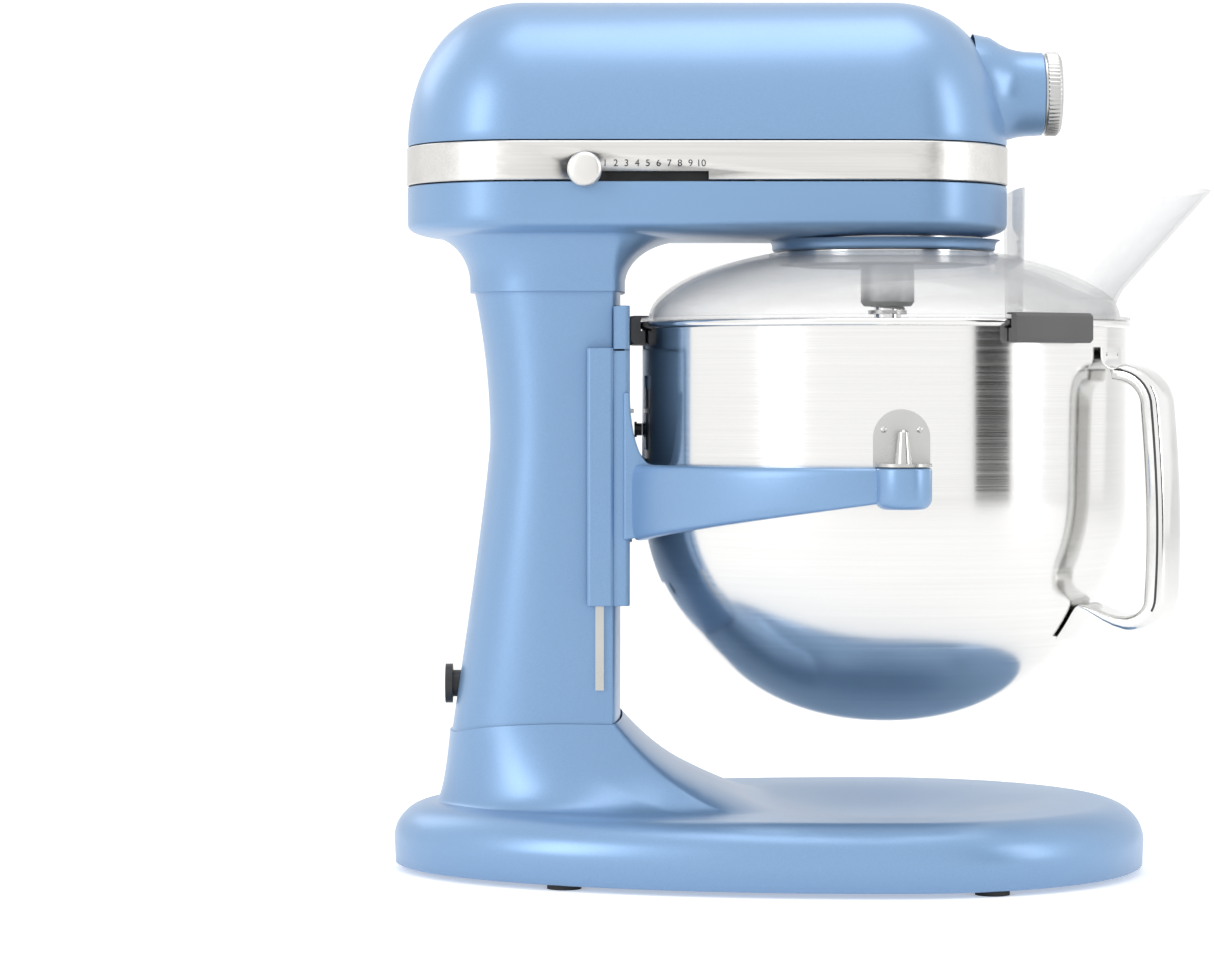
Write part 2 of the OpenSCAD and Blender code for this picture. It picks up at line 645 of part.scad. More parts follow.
main_shaft_top = hub_z - bevel_pitch + bevel_face;
module main_shaft() color(steel) translate([bowl_x, 0, carrier_top - carrier_h])
    cylinder(r = shaft_r, h = main_shaft_top - carrier_top + carrier_h);

module worm_wheel() color("#b08d57") translate([bowl_x, 0, motor_z - wheel_h / 2]) difference() {
    union() {
        // a tooth gap faces the worm
        rotate(90 + 180 / wheel_teeth) linear_extrude(wheel_h)
            polygon(gear_points(wheel_teeth, wheel_pitch, wheel_pitch - 1.25 * wheel_m, wheel_pitch + wheel_m,
                thin_tooth(wheel_teeth, wheel_pitch, 0.6)));
        translate([0, 0, -4]) cylinder(r = 10, h = wheel_h + 5);
    }
    translate([0, 0, -5]) cylinder(r = shaft_r, h = wheel_h + 10);
}

// Straight bevel gear: teeth run from the large end at z = 0 to the apex at z = bevel_pitch
bevel_m = 2 * bevel_pitch / bevel_teeth;
bevel_addendum = 0.6;
module bevel(bore, back_r, back_h) difference() {
    union() {
        linear_extrude(bevel_face, scale = 1 - bevel_face / bevel_pitch)
            polygon(gear_points(bevel_teeth, bevel_pitch, bevel_pitch - 1.15 * bevel_m,
                bevel_pitch + bevel_addendum * bevel_m, thin_tooth(bevel_teeth, bevel_pitch, 0.9)));
        translate([0, 0, -back_h]) cylinder(r = back_r, h = back_h + touch);
    }
    translate([0, 0, -back_h - 1]) cylinder(r = bore + touch, h = back_h + bevel_face + 2);
}
module drive_bevel() color(steel) translate([bowl_x, 0, hub_z - bevel_pitch]) bevel(shaft_r, 9, 2);
module hub_bevel() color(steel) translate([bowl_x + bevel_pitch, 0, hub_z])
    rotate([0, -90, 0]) rotate(180 / bevel_teeth) bevel(hub_shaft_r, 9, 4);

module hub_shaft() color(steel) translate([0, 0, hub_z]) {
    translate([bowl_x + bevel_pitch - bevel_face, 0, 0])
        along_x() cylinder(r = hub_shaft_r, h = hub_spindle_x - bowl_x - bevel_pitch + bevel_face + 1);
    difference() {
        translate([hub_spindle_x, 0, 0]) along_x() cylinder(r = hub_spindle_r, h = hub_spindle_len);
        translate([hub_spindle_x + 4, -hub_square / 2, -hub_square / 2])
            cube([hub_spindle_len, hub_square, hub_square]);
    }
}

beater_x = bowl_x;
beater_y = -beater_offset;
beater_low = rim_z - 36;
pinion_z = ring_gear_z + 0.5;
pinion_h = 10;
pin_z = beater_low + 10;
pin_r = 2.4;
pin_len = 24;
module beater_shaft() color(steel) translate([beater_x, beater_y, 0]) difference() {
    union() {
        translate([0, 0, beater_low + 1]) cylinder(r = beater_r, h = deck_z - 0.5 - beater_low - 1);
        translate([0, 0, beater_low]) cylinder(r1 = beater_r - 1, r2 = beater_r, h = 1.01);
    }
    translate([0, 0, pin_z]) along_x() translate([0, 0, -20]) cylinder(r = pin_r + touch, h = 40);
}
module drive_pin() color(steel) translate([beater_x - pin_len / 2, beater_y, pin_z])
    along_x() cylinder(r = pin_r, h = pin_len);
module beater_pinion() color(steel) translate([beater_x, beater_y, pinion_z]) difference() {
    rotate(-90) linear_extrude(pinion_h)
        polygon(gear_points(pinion_teeth, pinion_pitch, pinion_pitch - 1.2 * gear_m, pinion_pitch + 0.85 * gear_m,
            thin_tooth(pinion_teeth, pinion_pitch, 0.35)));
    translate([0, 0, -1]) cylinder(r = beater_r + touch, h = pinion_h + 2);
}
washer_z = carrier_top - beater_boss_h - 3.8;
module spring_washer() color(steel) translate([beater_x, beater_y, washer_z]) tube(beater_r + 2.9, beater_r + touch, 1.8);

wire_r = 0.8;
spring_r = beater_r + wire_r + 0.55;
module shaft_spring() color(steel) translate([beater_x, beater_y, washer_z + 1.8 + wire_r + touch]) {
    turns = 4;
    per_turn = 14;
    rise = spring_room_h + 2 - 2 * wire_r - 0.5;
    loft([for (i = [0:turns * per_turn]) let (a = 360 * i / per_turn)
        [for (b = [0:60:300]) let (r = spring_r + wire_r * cos(b))
            [r * cos(a), -r * sin(a), rise * i / turns / per_turn + wire_r * sin(b)]]]);
}

// ---------------------------------------------------------------- bowl support and its lift

support_top = column_top - 27;
support_low = seat_h + lift_travel + 26;
ear_in = 32;                                    // inner edge of the ears above the plate, clear of the clip
ear_top = column_top - 7;
support_in = column_hw + rail_t + run_gap;      // inner face of the side flanges
support_out = support_in + 4.6;
support_front = column_front + run_gap + support_plate;
ear_back = support_front - 8;
support_back = column_front - 16;
pad_z = rim_z - 68;
arm_r = bowl_r + 11;                            // centre line of the arms, about the bowl's axis
arm_t = 10;
pad_r = 13;
arm_end_h = 15;
arm_root_h = 36;
pin_tall = 16;
pin_base = 4.2;
latch_hw = 12;                                  // half width of the latch's window
latch_low = pad_z + 4;
latch_high = pad_z + 36;

// Arm sections about the bowl's axis, from the support (t = 0) to the pad (t = 1)
arm_root_angle = 157;
function arm_ring(t) =
    let (a = arm_root_angle + (90 - arm_root_angle) * t,
         h = arm_root_h + (arm_end_h - arm_root_h) * t, half = arm_t / 2, e = 2.5)
    [for (p = [[-half, -h + e], [-half + e, -h], [half - e, -h], [half, -h + e],
               [half, -e], [half - e, 0], [-half + e, 0], [-half, -e]])
        [bowl_x + (arm_r + p[0]) * cos(a), (arm_r + p[0]) * sin(a), pad_z + p[1]]];
arm_root_x = bowl_x + arm_r * cos(arm_root_angle);

// Fin that runs from the side of the plate down into the arm's root, with a hollow upper edge
fin_len = arm_root_x - support_front + 5;
fin_rise = 34;
module fin() rotate([90, 0, 0]) linear_extrude(support_out - support_in + 3) polygon(concat(
    [[-4, fin_rise], [-4, -arm_root_h], [fin_len, -arm_root_h + 3]],
    [for (t = [0:15:90]) [fin_len * (1 - sin(t)), fin_rise * (1 - cos(t))]]));

// Plan of the plate and the two flanges that wrap the column's front
module support_section() difference() {
    translate([support_back, -support_out]) square([support_front - support_back, 2 * support_out]);
    translate([support_back - 1, -support_in]) square([column_front + run_gap - support_back + 1, 2 * support_in]);
    for (s = [-1, 1]) translate([support_front, s * support_out]) rotate(45) square([4, 4], center = true);
}

module bowl_support() color(enamel) difference() {
    union() {
        translate([0, 0, support_low]) {
            linear_extrude(support_top - support_low) support_section();
            linear_extrude(ear_top - support_low) intersection() {
                support_section();
                for (s = [0, 1]) mirror([0, s]) translate([ear_back, ear_in]) square(2 * support_out);
            }
        }
        for (s = [0, 1]) mirror([0, s, 0]) {
            loft([for (t = [0:0.1:1]) arm_ring(t)]);
            translate([support_front, support_out, pad_z]) fin();
            translate([bowl_x, arm_r, pad_z - arm_end_h - 4]) {
                cylinder(r1 = pad_r - 3, r2 = pad_r, h = 5, $fn = 48);
                translate([0, 0, 5]) cylinder(r = pad_r, h = arm_end_h - 1, $fn = 48);
            }
        }
    }
    // room for the bowl between the pads
    translate([bowl_x, 0, pad_z - 50]) cylinder(r = bowl_r + 2 * run_gap, h = 60);
    // window for the latch
    translate([column_front, -latch_hw, latch_low - 6])
        cube([20, 2 * latch_hw, latch_high - latch_low + 12]);
    // threaded sockets for the locating pins
    for (s = [-1, 1]) translate([bowl_x, s * arm_r, pad_z - 10]) cylinder(r = 3 + bolt_clear, h = 20, $fn = 48);
    // screw holes for the yoke
    for (z = [-8, 8]) translate([column_front, yoke_y, yoke_z + z])
        along_x() cylinder(r = 2 + bolt_clear, h = 10, $fn = 32);
}

module locating_pins() color(steel) for (s = [-1, 1]) translate([bowl_x, s * arm_r, pad_z + touch]) {
    cylinder(r1 = pin_base, r2 = 2.4, h = pin_tall);
    translate([0, 0, pin_tall - touch]) cylinder(r1 = 2.4, r2 = 1.2, h = 1);
    translate([0, 0, -9]) cylinder(r = 3, h = 9 + touch);
}

// Yoke: a plate inside the column with a level slot that the crank's pin runs in
crank_pin_r = 3;
yoke_play = 1.2;
yoke_back = axle_x - crank_len - 8;
module lift_yoke() color(steel) difference() {
    translate([yoke_back, yoke_y - yoke_t / 2, yoke_z - 12])
        cube([column_front + run_gap - yoke_back - touch, yoke_t, 24]);
    translate([yoke_back + 3, yoke_y - yoke_t, yoke_z - crank_pin_r - yoke_play])
        cube([crank_len * (1 - 1 / sqrt(2)) + 12, 2 * yoke_t, 2 * (crank_pin_r + yoke_play)]);
    for (z = [-8, 8]) translate([column_front - 9, yoke_y, yoke_z + z])
        along_x() cylinder(r = 1.5, h = 12);
}
module yoke_screws() color(steel) for (z = [-8, 8])
    translate([support_front + touch, yoke_y, yoke_z + z]) rotate([0, -90, 0]) screw(1.5, 11, 3.2, 1.4);

// Spring latch that holds the stud on the bowl's back
latch_t = 1.2;
latch_x = support_front - 1.6;
stud_z = pad_z + 16;
bowl_play = 4;              // how far the bowl lifts before the shield meets the head
module bowl_latch() color(steel) {
    for (s = [-1, 1]) translate([latch_x, s * 8 - 1.5, latch_low])
        cube([latch_t, 3, latch_high - latch_low]);
    translate([latch_x, -9.5, latch_low - 2]) cube([latch_t, 19, 4]);
    translate([latch_x, -9.5, stud_z + bowl_stud_r + bowl_play + 1]) cube([latch_t + 2.6, 19, 2]);
}

lever_y = support_out + 2.5;
lever_len = 84;
lever_t = 6;
lever_hub_r = 12;
module lift_axle() color(steel) translate([axle_x, yoke_y + yoke_t, axle_z])
    along_y() cylinder(r = axle_r, h = lever_y + lever_t - yoke_y - yoke_t);
module lift_lever() color(steel) translate([axle_x, lever_y, axle_z]) difference() {
    union() {
        along_y() cylinder(r = lever_hub_r, h = lever_t);
        translate([-6, 0, 0]) cube([12, lever_t, lever_len]);
    }
    translate([0, -1, 0]) along_y() cylinder(r = axle_r, h = lever_t + 2);
}
module lever_grip() color(dark) translate([axle_x, lever_y - 1, axle_z + lever_len - 30]) difference() {
    union() {
        translate([-10, 0, 0]) cube([20, lever_t + 8, 34]);
        translate([0, 0, 34]) along_y() cylinder(r = 10, h = lever_t + 8);
    }
    translate([-6, 1, -1]) cube([12, lever_t, 31]);
}
crank_t = 5;
crank_y = yoke_y + yoke_t / 2 + 1;
module lift_crank() color(steel) translate([axle_x, crank_y, axle_z]) rotate([0, 45, 0]) difference() {
    union() {
        along_y() cylinder(r = 9, h = crank_t);
        translate([-crank_len, 0, -5]) cube([crank_len, crank_t, 10]);
        translate([-crank_len, 0, 0]) along_y() cylinder(r = 5, h = crank_t);
        translate([-crank_len, -yoke_t - 2, 0]) along_y() cylinder(r = crank_pin_r, h = yoke_t + 2 + touch);
    }
    translate([0, yoke_y + yoke_t - crank_y, 0]) along_y() cylinder(r = axle_r + touch, h = crank_t);
}

// ---------------------------------------------------------------- bowl

bowl_curve_z = rim_z - 79;              // where the straight wall ends
bowl_power = 2 / 2.15;
roll_r = 1.8;
bowl_curve_steps = 16;
function bowl_profile(r, depth, from_t, to_t) = [for (i = [0:bowl_curve_steps])
    let (t = from_t + (to_t - from_t) * i / bowl_curve_steps)
    [r * pow(cos(t), bowl_power), bowl_curve_z - depth * pow(sin(t), bowl_power)]];
bowl_depth = bowl_h - 79;
roll_start = acos((bowl_wall - roll_r) / roll_r);
roll_steps = 12;
// The sheet, with its rim rolled outwards into a bead
module bowl() color(steel) translate([bowl_x, 0, 0]) rotate_extrude($fn = 96) polygon(concat(
    bowl_profile(bowl_r, bowl_depth, 0, 88),
    [[0, bowl_curve_z - bowl_depth]],
    [[0, bowl_curve_z - bowl_depth + bowl_wall]],
    bowl_profile(bowl_r - bowl_wall, bowl_depth - bowl_wall, 88, 0),
    [for (i = [roll_steps:-1:0]) let (a = -roll_start + (180 + roll_start) * i / roll_steps)
        [bowl_r - bowl_wall + roll_r * (1 + cos(a)), rim_z + roll_r * (sin(a) - 1)]]));

bracket_hw = 13;
bracket_t = 1.5;
bracket_gap = run_gap;
module bowl_brackets() color(steel) for (s = [0, 1]) mirror([0, s, 0])
    translate([bowl_x, bowl_r + touch, pad_z + bracket_gap]) difference() {
        union() {
            translate([-bracket_hw, 0, 0]) cube([2 * bracket_hw, bracket_t, bracket_hw]);
            translate([0, 0, bracket_hw]) along_y() cylinder(r = bracket_hw, h = bracket_t);
            translate([-bracket_hw, 0, 0]) cube([2 * bracket_hw, arm_r - bowl_r, bracket_t]);
            translate([0, arm_r - bowl_r, 0]) cylinder(r = bracket_hw, h = bracket_t);
        }
        translate([0, arm_r - bowl_r, -1]) cylinder(r = pin_base + run_gap, h = 5);
        translate([-bracket_hw - 1, -20, -2]) cube([2 * bracket_hw + 2, 20, 30]);
    }

bowl_stud_r = 3;
module bowl_stud() color(dark) translate([bowl_x - bowl_r - 0.05, 0, stud_z]) rotate([0, -90, 0]) {
    cylinder(r = bowl_stud_r, h = 3);
    translate([0, 0, 2.5]) cylinder(r = bowl_stud_r + 0.8, h = 1.2);
}

// Handle: a rounded strap in a plane turned away from the front
handle_turn = -30;
handle_reach = 33;
handle_top = rim_z - 26;
handle_low = rim_z - 138;
handle_hw = 12;
handle_t = 7;
handle_round = 16;
// Where the handle's lower foot meets the curved wall
function bowl_r_at(z) = bowl_r * pow(1 - pow((bowl_curve_z - z) / bowl_depth, 2.15), 1 / 2.15);
foot_r_low = bowl_r_at(handle_low - 8) + 0.4;
function corner(cx, cz, a0, a1) = [for (i = [0:5]) let (a = a0 + (a1 - a0) * i / 5)
    [cx + handle_round * cos(a), cz + handle_round * sin(a)]];
handle_out = bowl_r + handle_reach;
handle_path = concat(
    [[bowl_r + handle_t / 2 + 0.3, handle_top - 18], [bowl_r + handle_t / 2 + 0.6, handle_top - 8],
     [bowl_r + handle_t / 2 + 6, handle_top - 1], [bowl_r + 22, handle_top]],
    corner(handle_out - handle_round, handle_top - handle_round, 90, 0),
    corner(handle_out - handle_round, handle_low + handle_round, 0, -90),
    [[foot_r_low + 20, handle_low], [foot_r_low + 8, handle_low - 3], [foot_r_low + 4.5, handle_low - 8]]);
handle_section = [for (i = [0:11]) let (a = 360 * i / 12)
    [handle_hw * spow(cos(a), 0.5), handle_t / 2 * spow(sin(a), 0.8)]];
module bowl_handle() color(steel) translate([bowl_x, 0, 0]) rotate(handle_turn)
    sweep_xz(handle_path, handle_section);

// ---------------------------------------------------------------- pouring shield

shield_gap = 0.3;
shield_z = rim_z + shield_gap;
shield_t = 2;
dome_h = 37.5;
dome_hole = boss_r + 1.5;
flange_t = 1.5;
chute_back = head_nose + 1.8;           // from the bowl's axis
chute_top = band_z - 2.6;
chute_hw_low = 36;
chute_hw_top = 46;
chute_low_front = shield_r - 3;
dome_steps = 9;
function dome_at(r, rise) = sqrt(max(0, 1 - pow(r / shield_r, 2))) * rise;
module dome() rotate_extrude($fn = 60) {
    inner = shield_r - shield_t;
    polygon(concat(
        [for (i = [0:dome_steps]) let (r = dome_hole + (shield_r - dome_hole) * sin(90 * i / dome_steps))
            [r, flange_t + dome_at(r, dome_h - flange_t)]],
        [[bowl_r + 2, flange_t], [bowl_r + 2, 0], [inner - 0.2, 0], [inner - 0.2, flange_t]],
        [for (i = [dome_steps - 1:-1:0]) let (r = dome_hole + (inner - dome_hole) * sin(90 * i / dome_steps))
            [r, flange_t + sqrt(max(0, 1 - pow(r / inner, 2))) * (dome_h - flange_t - shield_t)]]));
}
// Chute sections, t from the rim (0) to the mouth (1): the front leans out past a rounded knee
chute_knee = 0.24;
function chute_lean(t) = t < chute_knee ? 0.1 * pow(t / chute_knee, 2)
    : 0.1 + 0.9 * (t - chute_knee) / (1 - chute_knee);
function chute_ring(t, inset) =
    let (z = (chute_top - shield_z) * t, front = chute_low_front + (chute_tip - chute_low_front) * chute_lean(t),
         hw = chute_hw_low + (chute_hw_top - chute_hw_low) * t)
    outline(chute_back + 3, front - 30, 3 - inset, 30 - inset, hw - inset, 3, 2.2, z);
module pouring_shield() color([0.9, 0.92, 0.94, 0.4]) translate([bowl_x, 0, shield_z]) casting() difference() {
    union() {
        dome();
        loft([for (t = [0, 0.12, 0.24, 0.5, 0.75, 1]) chute_ring(t, 0)]);
    }
    loft([for (t = [-0.2, 0.12, 0.24, 0.5, 0.75, 1.05]) chute_ring(t, shield_t)]);
}

clip_span = 22;
clip_angles = [180, 54, -54];
module shield_clips() color(dark) translate([bowl_x, 0, shield_z]) for (a = clip_angles)
    rotate(a - clip_span / 2) rotate_extrude(angle = clip_span, $fn = 96)
        polygon([[bowl_r - 1, flange_t + touch], [bowl_r - 1, flange_t + 2.4], [bowl_r + 8, flange_t + 2.4],
            [bowl_r + 8, -11.5], [bowl_r + 2, -11.5], [bowl_r + 2, -8], [bowl_r + 4, -6],
            [bowl_r + 4, flange_t + touch]]);

// ---------------------------------------------------------------- nodes

base();
rubber_feet();
column();
guide_rails();
column_bolts();
neck_bolts();
cord_gland();
lever_bushing();
lower_housing();
upper_housing();
trim_band();
cover_screws();
speed_track();
hub_sleeve();
gearcase();
ring_gear();
shaft_bearings();
hub_bearing();
motor_stator();
motor_end_plate();
motor_bearings();
brush_holders();
control_board();
speed_knob();
speed_carriage();
bowl_support();
locating_pins();
lift_yoke();
yoke_screws();
bowl_latch();
lift_axle();
lift_lever();
lever_grip();
lift_crank();
bowl();
bowl_brackets();
bowl_handle();
bowl_stud();
pouring_shield();
shield_clips();
planet_carrier();
drip_ring();
main_shaft();
worm_wheel();
drive_bevel();
beater_shaft();
beater_pinion();
drive_pin();
shaft_spring();
spring_washer();
hub_shaft();
hub_bevel();
hub_cap();
hub_knob();
hub_stud();
motor_shaft();
rotor_core();
commutator();
cooling_fan();
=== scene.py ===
"""Looks of a bowl-lift stand mixer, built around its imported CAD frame.

Lengths are in metres, +X points from the column to the bowl and the lift lever is on +Y. The shared places
come from the boxes of the CAD nodes.
"""

import json
import logging
import math
from dataclasses import dataclass
from enum import Enum
from typing import Callable, Optional, Sequence

import bmesh
import bpy
from mathutils import Matrix, Vector


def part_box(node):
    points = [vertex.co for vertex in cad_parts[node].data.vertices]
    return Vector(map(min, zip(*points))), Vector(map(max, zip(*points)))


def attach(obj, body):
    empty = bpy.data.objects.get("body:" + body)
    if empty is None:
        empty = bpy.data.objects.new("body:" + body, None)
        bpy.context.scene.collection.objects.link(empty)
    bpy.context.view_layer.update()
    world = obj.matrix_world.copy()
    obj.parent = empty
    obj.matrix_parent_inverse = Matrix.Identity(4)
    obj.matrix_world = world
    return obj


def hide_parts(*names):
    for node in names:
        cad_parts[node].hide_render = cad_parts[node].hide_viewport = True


Point = tuple[float, float, float]
Ring = list[Point]
Flat = tuple[float, float]
Colour = tuple[float, float, float]

LOG = logging.getLogger("mixer")
MM = 0.001


# ---------------------------------------------------------------- mesh helpers


def signed_power(value: float, power: float) -> float:
    """Returns the value's size raised to a power, with the value's sign."""
    return math.copysign(abs(value) ** power, value)


@dataclass(frozen=True)
class Plan:
    """A plan outline: two half superellipses joined by straight sides."""

    back_centre: float
    front_centre: float
    back: float
    front: float
    half_width: float
    back_power: float = 2.0
    front_power: float = 2.0

    def ring(self, z: float, steps: int = 48) -> Ring:
        """Makes the outline's points at a height.

        Args:
            z: Height of the ring.
            steps: Segments in each half.

        Returns:
            The points, from the -Y side round the front to the back.
        """
        points: Ring = []
        for i in range(steps + 1):
            turn = math.pi * (i / steps - 0.5)
            points.append((
                self.front_centre + self.front * signed_power(math.cos(turn), 2 / self.front_power),
                self.half_width * signed_power(math.sin(turn), 2 / self.front_power),
                z,
            ))
        for i in range(steps + 1):
            turn = math.pi * (i / steps + 0.5)
            points.append((
                self.back_centre + self.back * signed_power(math.cos(turn), 2 / self.back_power),
                self.half_width * signed_power(math.sin(turn), 2 / self.back_power),
                z,
            ))
        return points

    def grown(self, by: float) -> "Plan":
        """Returns the outline moved outwards by a distance."""
        return Plan(
            self.back_centre, self.front_centre, self.back + by, self.front + by,
            self.half_width + by, self.back_power, self.front_power,
        )

    def scaled(self, share: float) -> "Plan":
        """Returns the outline with its ends and width scaled about its centres."""
        return Plan(
            self.back_centre, self.front_centre, self.back * share, self.front * share,
            self.half_width * share, self.back_power, self.front_power,
        )


def turns(steps: int) -> list[float]:
    """Returns equal turns round a circle, in radians."""
    return [2 * math.pi * i / steps for i in range(steps)]


def arc(centre: Flat, reach: Flat, angles: Sequence[float]) -> list[Flat]:
    """Makes points on an ellipse about a centre, at angles in degrees; a reach below 0 mirrors it."""
    return [
        (centre[0] + reach[0] * math.cos(math.radians(a)), centre[1] + reach[1] * math.sin(math.radians(a)))
        for a in angles
    ]


def round_ring(centre: Sequence[float], radius: float, steps: int = 96) -> Ring:
    """Makes a level circle of points about a centre."""
    return [
        (centre[0] + radius * math.cos(turn), centre[1] + radius * math.sin(turn), centre[2])
        for turn in turns(steps)
    ]


def upright_ring(axis: str, centre: Sequence[float], along: float, radius: float, steps: int = 96,
                 lobes: int = 0, depth: float = 0.0) -> Ring:
    """Makes a circle of points about a level axis, scalloped if it has lobes.

    Args:
        axis: "X" or "Y".
        centre: A point on the axis.
        along: Place of the ring along the axis.
        radius: Outer radius.
        steps: Number of points.
        lobes: Number of lobes round the ring.
        depth: How far the ring dips between lobes.

    Returns:
        The points.
    """
    points: Ring = []
    for turn in turns(steps):
        size = radius - depth * (1 - math.cos(turn * lobes)) / 2
        across, up = size * math.cos(turn), centre[2] + size * math.sin(turn)
        points.append((along, centre[1] + across, up) if axis == "X" else (centre[0] + across, along, up))
    return points


def mesh_object(name: str, build: Callable[[bmesh.types.BMesh], None],
                sharp: float = 35.0) -> bpy.types.Object:
    """Makes an object from a function that fills a bmesh.

    Args:
        name: The piece's name.
        build: Fills the bmesh it is given.
        sharp: Edges that turn by more than this many degrees stay crisp.

    Returns:
        The linked, smooth-shaded object.
    """
    mesh = bpy.data.meshes.new(name)
    work = bmesh.new()
    build(work)
    bmesh.ops.remove_doubles(work, verts=work.verts, dist=1e-6)
    bmesh.ops.recalc_face_normals(work, faces=work.faces)
    work.to_mesh(mesh)
    work.free()
    mesh.shade_smooth()
    mesh.set_sharp_from_angle(angle=math.radians(sharp))
    made = bpy.data.objects.new(name, mesh)
    bpy.context.scene.collection.objects.link(made)
    return made


def add_rings(work: bmesh.types.BMesh, rings: Sequence[Ring], caps: bool = True, loop: bool = False) -> None:
    """Adds a skin through rings of equally many points.

    Args:
        work: The bmesh to add to.
        rings: The rings, in order.
        caps: Closes the first and last ring with a face.
        loop: Joins the last ring back to the first.
    """
    rows = [[work.verts.new(p) for p in ring] for ring in rings]
    pairs = list(zip(rows, rows[1:]))
    if loop:
        pairs.append((rows[-1], rows[0]))
    for low, high in pairs:
        count = len(low)
        for i in range(count):
            work.faces.new((low[i], low[(i + 1) % count], high[(i + 1) % count], high[i]))
    if caps and not loop:
        work.faces.new(rows[0])
        work.faces.new(rows[-1])


def lofted(name: str, rings: Sequence[Ring], caps: bool = True, loop: bool = False,
           sharp: float = 35.0) -> bpy.types.Object:
    """Makes an object whose skin runs through rings."""
    return mesh_object(name, lambda work: add_rings(work, rings, caps, loop), sharp)


def turned(name: str, profile: Sequence[Flat], centre: Sequence[float], steps: int = 128,
           closed: bool = True, sharp: float = 35.0) -> bpy.types.Object:
    """Makes a turned piece about a vertical axis.

    Args:
        name: The piece's name.
        profile: Points (radius, z).
        centre: A point on the axis; only its x and y count.
        steps: Segments round the axis.
        closed: The profile is a closed loop, as of a tube; otherwise its ends are capped.
        sharp: Edges that turn by more than this many degrees stay crisp.

    Returns:
        The object.
    """
    rings = [round_ring((centre[0], centre[1], z), max(r, 1e-5), steps) for r, z in profile]
    return lofted(name, rings, caps=not closed, loop=closed, sharp=sharp)


def swept(name: str, path: Sequence[Vector], section: Sequence[Flat], across: Vector,
          depths: Sequence[float], sharp: float = 40.0) -> bpy.types.Object:
    """Sweeps a flat section along a path that lies in one plane.

    Args:
        name: The piece's name.
        path: The path's points.
        section: Section points as (across, outwards).
        across: The direction square to the path's plane.
        depths: Scales the section's outward size at each point.
        sharp: Edges that turn by more than this many degrees stay crisp.

    Returns:
        The object.
    """
    rings: list[Ring] = []
    last = len(path) - 1
    for i, point in enumerate(path):
        along = (path[min(i + 1, last)] - path[max(i - 1, 0)]).normalized()
        outward = along.cross(across).normalized()
        rings.append([tuple(point + across * a + outward * (b * depths[i])) for a, b in section])
    return lofted(name, rings, sharp=sharp)


def cut_away(target: bpy.types.Object, cutter: bpy.types.Object) -> None:
    """Cuts one closed object out of another and removes the cutter."""
    change = target.modifiers.new("cut", "BOOLEAN")
    change.object = cutter
    change.operation = "DIFFERENCE"
    change.solver = "EXACT"
    depsgraph = bpy.context.evaluated_depsgraph_get()
    result = bpy.data.meshes.new_from_object(target.evaluated_get(depsgraph))
    target.modifiers.clear()
    target.data = result
    bpy.data.objects.remove(cutter)


def block(name: str, low: Sequence[float], high: Sequence[float]) -> bpy.types.Object:
    """Makes a closed box between two corners, to cut with or to be rounded."""
    corners = [
        [(x, y, z) for x, y in ((low[0], low[1]), (high[0], low[1]), (high[0], high[1]), (low[0], high[1]))]
        for z in (low[2], high[2])
    ]
    return lofted(name, corners)


def rounded_edges(piece: bpy.types.Object, width: float) -> None:
    """Rounds the crisp edges of a piece by a small bevel."""
    bevel = piece.modifiers.new("rounded", "BEVEL")
    bevel.width = width
    bevel.segments = 3
    bevel.limit_method = "ANGLE"
    bevel.angle_limit = math.radians(32)
    bevel.harden_normals = True


def swing_round(piece: bpy.types.Object, degrees: float, x: float) -> None:
    """Turns a mesh made about the origin round +Z, then moves it to an upright axis at x."""
    turn = Matrix.Rotation(math.radians(degrees), 4, "Z")
    piece.data.transform(Matrix.Translation((x, 0, 0)) @ turn)


# ---------------------------------------------------------------- effects shared by finishes


class Effect(Enum):
    """The shader node groups that finishes share."""

    GRAIN = "fine_grain"
    BRUSHED = "brushed_lines"
    DUST = "settled_dust"


class Brush(Enum):
    """Which way a metal's brushed lines run: stretched noise is squeezed across them."""

    ALONG_X = (12.0, 900.0, 900.0)
    ROUND_Z = (10.0, 10.0, 2600.0)


Tree = bpy.types.NodeTree
Socket = bpy.types.NodeSocket


def new_group(effect: Effect, inputs: dict[str, object],
              outputs: Sequence[str]) -> tuple[Tree, bpy.types.Node, bpy.types.Node]:
    """Makes an empty shader node group with named sockets.

    Args:
        effect: The group's effect, which names it.
        inputs: Default values by name; three numbers make a vector.
        outputs: Names of the outputs, which are all masks or heights.

    Returns:
        The tree, its input node and its output node.
    """
    tree = bpy.data.node_groups.new(effect.value, "ShaderNodeTree")
    for name, value in inputs.items():
        kind = "NodeSocketVector" if isinstance(value, tuple) else "NodeSocketFloat"
        tree.interface.new_socket(name, in_out="INPUT", socket_type=kind).default_value = value
    for name in outputs:
        tree.interface.new_socket(name, in_out="OUTPUT", socket_type="NodeSocketFloat")
    return tree, tree.nodes.new("NodeGroupInput"), tree.nodes.new("NodeGroupOutput")


def math_node(tree: Tree, operation: str, first: object, second: object) -> Socket:
    """Adds a Math node whose inputs are sockets or numbers, and returns its output."""
    node = tree.nodes.new("ShaderNodeMath")
    node.operation = operation
    for slot, value in enumerate((first, second)):
        if isinstance(value, Socket):
            tree.links.new(value, node.inputs[slot])
        else:
            node.inputs[slot].default_value = value
    return node.outputs[0]


